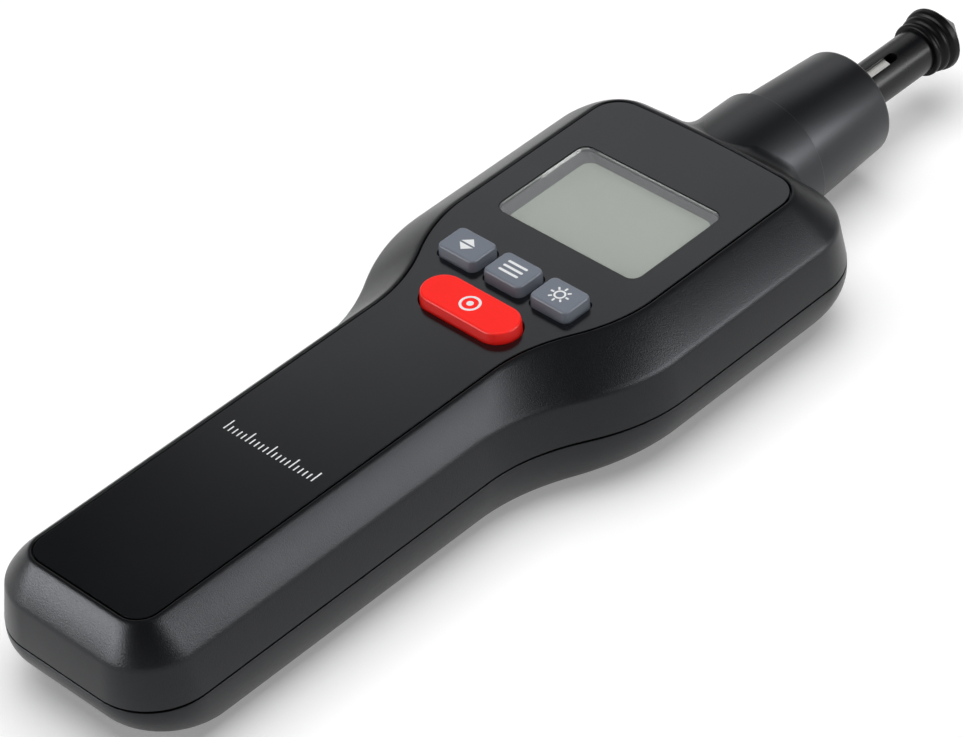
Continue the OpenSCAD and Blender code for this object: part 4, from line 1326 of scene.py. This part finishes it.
@dataclass(frozen=True)
class View:
    """Camera of the picture, in degrees and millimetres."""

    turn: float = 46.425
    drop: float = 39.9242
    roll: float = -4.5004
    focal_px: float = 4125.638
    distance: float = 813.238
    across: float = 9.2551
    along: float = -6.1459
    origin: tuple[float, float, float] = (0.0, 102.0, 31.45)
    sensor: float = 36.0

    def axes(self) -> tuple[Vector, Vector, Vector]:
        """Right, up and forward of the camera."""
        a, e, r = (math.radians(v) for v in (self.turn, self.drop, self.roll))
        forward = Vector((-math.sin(a) * math.cos(e), math.cos(a) * math.cos(e), -math.sin(e)))
        level = Vector((math.cos(a), math.sin(a), 0.0))
        upright = level.cross(forward)
        right = level * math.cos(r) + upright * math.sin(r)
        up = upright * math.cos(r) - level * math.sin(r)
        return right, up, forward

    def build(self) -> None:
        """Makes the camera and looks through it."""
        right, up, forward = self.axes()
        place = right * self.across + up * self.along - forward * self.distance
        place += Vector(self.origin) + Vector((0.0, TAIL_Y, 0.0))
        data = bpy.data.cameras.new("camera")
        data.sensor_width = self.sensor
        data.lens = self.focal_px / PICTURE_WIDTH * self.sensor
        data.clip_start, data.clip_end = 0.01, 20.0
        made = bpy.data.objects.new("camera", data)
        made.matrix_world = Matrix.Translation(place * MM) @ Matrix((right, up, -forward)).transposed().to_4x4()
        bpy.context.scene.collection.objects.link(made)
        bpy.context.scene.camera = made


@dataclass(frozen=True)
class Softbox:
    """A rectangular area light that points at a spot on the object."""

    name: str
    toward: tuple[float, float, float]
    distance: float
    size: tuple[float, float]
    power: float
    aim: tuple[float, float, float] = (0.0, 0.0, 0.02)
    mirrored: bool = True
    spreads: bool = False

    def build(self) -> None:
        """Makes the light."""
        data = bpy.data.lights.new(self.name, "AREA")
        data.shape = "RECTANGLE"
        data.size, data.size_y = self.size
        data.energy = self.power
        made = bpy.data.objects.new(self.name, data)
        away = Vector(self.toward).normalized()
        made.location = Vector(self.aim) + away * self.distance
        made.rotation_euler = away.to_track_quat("Z", "Y").to_euler()
        made.visible_glossy = self.mirrored
        made.visible_diffuse = self.spreads
        bpy.context.scene.collection.objects.link(made)


@dataclass(frozen=True)
class Studio:
    """World, floor and lights."""

    lights: tuple[Softbox, ...] = (
        Softbox("sheen_left", (-0.50, 0.66, 0.54), 1.15, (0.75, 0.5), 1.15, (0.0, 0.075, 0.02)),
        Softbox("tail_left", (-0.46, -0.82, 0.33), 1.1, (0.95, 0.35), 13.5, (0.0, -0.13, 0.02)),
        Softbox("chamfer_right", (0.75, 0.47, 0.48), 1.0, (0.55, 0.4), 4.0, (0.0, -0.09, 0.02)),
        Softbox("side_right", (0.80, 0.50, 0.30), 1.0, (0.45, 0.22), 2.2, (0.0, 0.08, 0.02)),
        Softbox("head_right", (0.46, 0.60, 0.65), 1.0, (0.5, 0.4), 0.25, (0.0, 0.03, 0.02)),
        Softbox("overhead", (0.0, 0.0, 1.0), 1.5, (1.6, 1.6), 26.0, (0.0, 0.0, 0.0), False, True),
    )
    lift: float = 0.25
    low_grey: float = 0.8
    high_grey: float = 0.06
    rise: tuple[float, float] = (0.02, 0.45)
    floor_size: float = 6.0
    fade: tuple[float, float] = (0.6, 1.6)
    floor_grey: float = 0.83

    def build(self) -> None:
        """Makes the world, the floor and the lights."""
        self.world()
        self.floor()
        for light in self.lights:
            light.build()
        bpy.context.scene.view_settings.view_transform = "Standard"

    def world(self) -> None:
        """A world that is bright near the horizon and dimmer overhead."""
        world = bpy.data.worlds.new("studio")
        world.use_nodes = True
        tree = world.node_tree
        tree.nodes.clear()
        out = tree.nodes.new("ShaderNodeOutputWorld")
        back = tree.nodes.new("ShaderNodeBackground")
        direction = tree.nodes.new("ShaderNodeTexCoord").outputs["Generated"]
        split = tree.nodes.new("ShaderNodeSeparateXYZ")
        tree.links.new(direction, split.inputs[0])
        ramp = tree.nodes.new("ShaderNodeValToRGB")
        ramp.color_ramp.interpolation = "EASE"
        first, last = ramp.color_ramp.elements
        first.position, first.color = self.rise[0], (self.low_grey,) * 3 + (1.0,)
        last.position, last.color = self.rise[1], (self.high_grey,) * 3 + (1.0,)
        tree.links.new(split.outputs["Z"], ramp.inputs[0])
        tree.links.new(ramp.outputs[0], back.inputs["Color"])
        tree.links.new(back.outputs[0], out.inputs["Surface"])
        bpy.context.scene.world = world

    def floor(self) -> None:
        """A plain pale floor under the object."""
        made = mesh_object("floor", np.array([[-1, -1, 0], [1, -1, 0], [1, 1, 0], [-1, 1, 0]])
                           * self.floor_size / MM, [[0, 1, 2, 3]])
        made.location.z = -FLOOR_DROP
        material, tree, shader = new_material("floor_pale")
        shader.inputs["Base Color"].default_value = (self.floor_grey,) * 3 + (1.0,)
        shader.inputs["Roughness"].default_value = 1.0
        shader.inputs["Specular IOR Level"].default_value = 0.0
        seen = tree.nodes.new("ShaderNodeLightPath")
        looked_at = math_node(tree, "ADD", seen.outputs["Is Camera Ray"], seen.outputs["Is Glossy Ray"])
        looked_at = math_node(tree, "ADD", looked_at, seen.outputs["Is Transmission Ray"])
        shader.inputs["Emission Color"].default_value = (1.0, 1.0, 1.0, 1.0)
        reach = tree.nodes.new("ShaderNodeVectorMath")
        reach.operation = "LENGTH"
        tree.links.new(tree.nodes.new("ShaderNodeTexCoord").outputs["Object"], reach.inputs[0])
        far = tree.nodes.new("ShaderNodeMapRange")
        far.interpolation_type = "SMOOTHSTEP"
        far.inputs["From Min"].default_value, far.inputs["From Max"].default_value = self.fade
        far.inputs["To Min"].default_value = self.lift
        tree.links.new(reach.outputs["Value"], far.inputs["Value"])
        strength = math_node(tree, "MULTIPLY", looked_at, far.outputs["Result"])
        tree.links.new(strength, shader.inputs["Emission Strength"])
        clear = tree.nodes.new("ShaderNodeBsdfTransparent")
        sides = tree.nodes.new("ShaderNodeMixShader")
        tree.links.new(tree.nodes.new("ShaderNodeNewGeometry").outputs["Backfacing"], sides.inputs[0])
        tree.links.new(shader.outputs["BSDF"], sides.inputs[1])
        tree.links.new(clear.outputs["BSDF"], sides.inputs[2])
        tree.links.new(sides.outputs[0], tree.nodes["Material Output"].inputs["Surface"])
        made.data.materials.append(material)


def main() -> None:
    """Builds the camera, the pieces, the finishes and the studio."""
    View().build()
    finishes = Finishes()
    Housing().build(finishes)
    Keys().build(finishes)
    Display().build(finishes)
    Nose().build(finishes)
    dress_nodes(finishes)
    Studio().build()


if __name__ == "__main__":
    logging.basicConfig(level=logging.INFO)
    main()
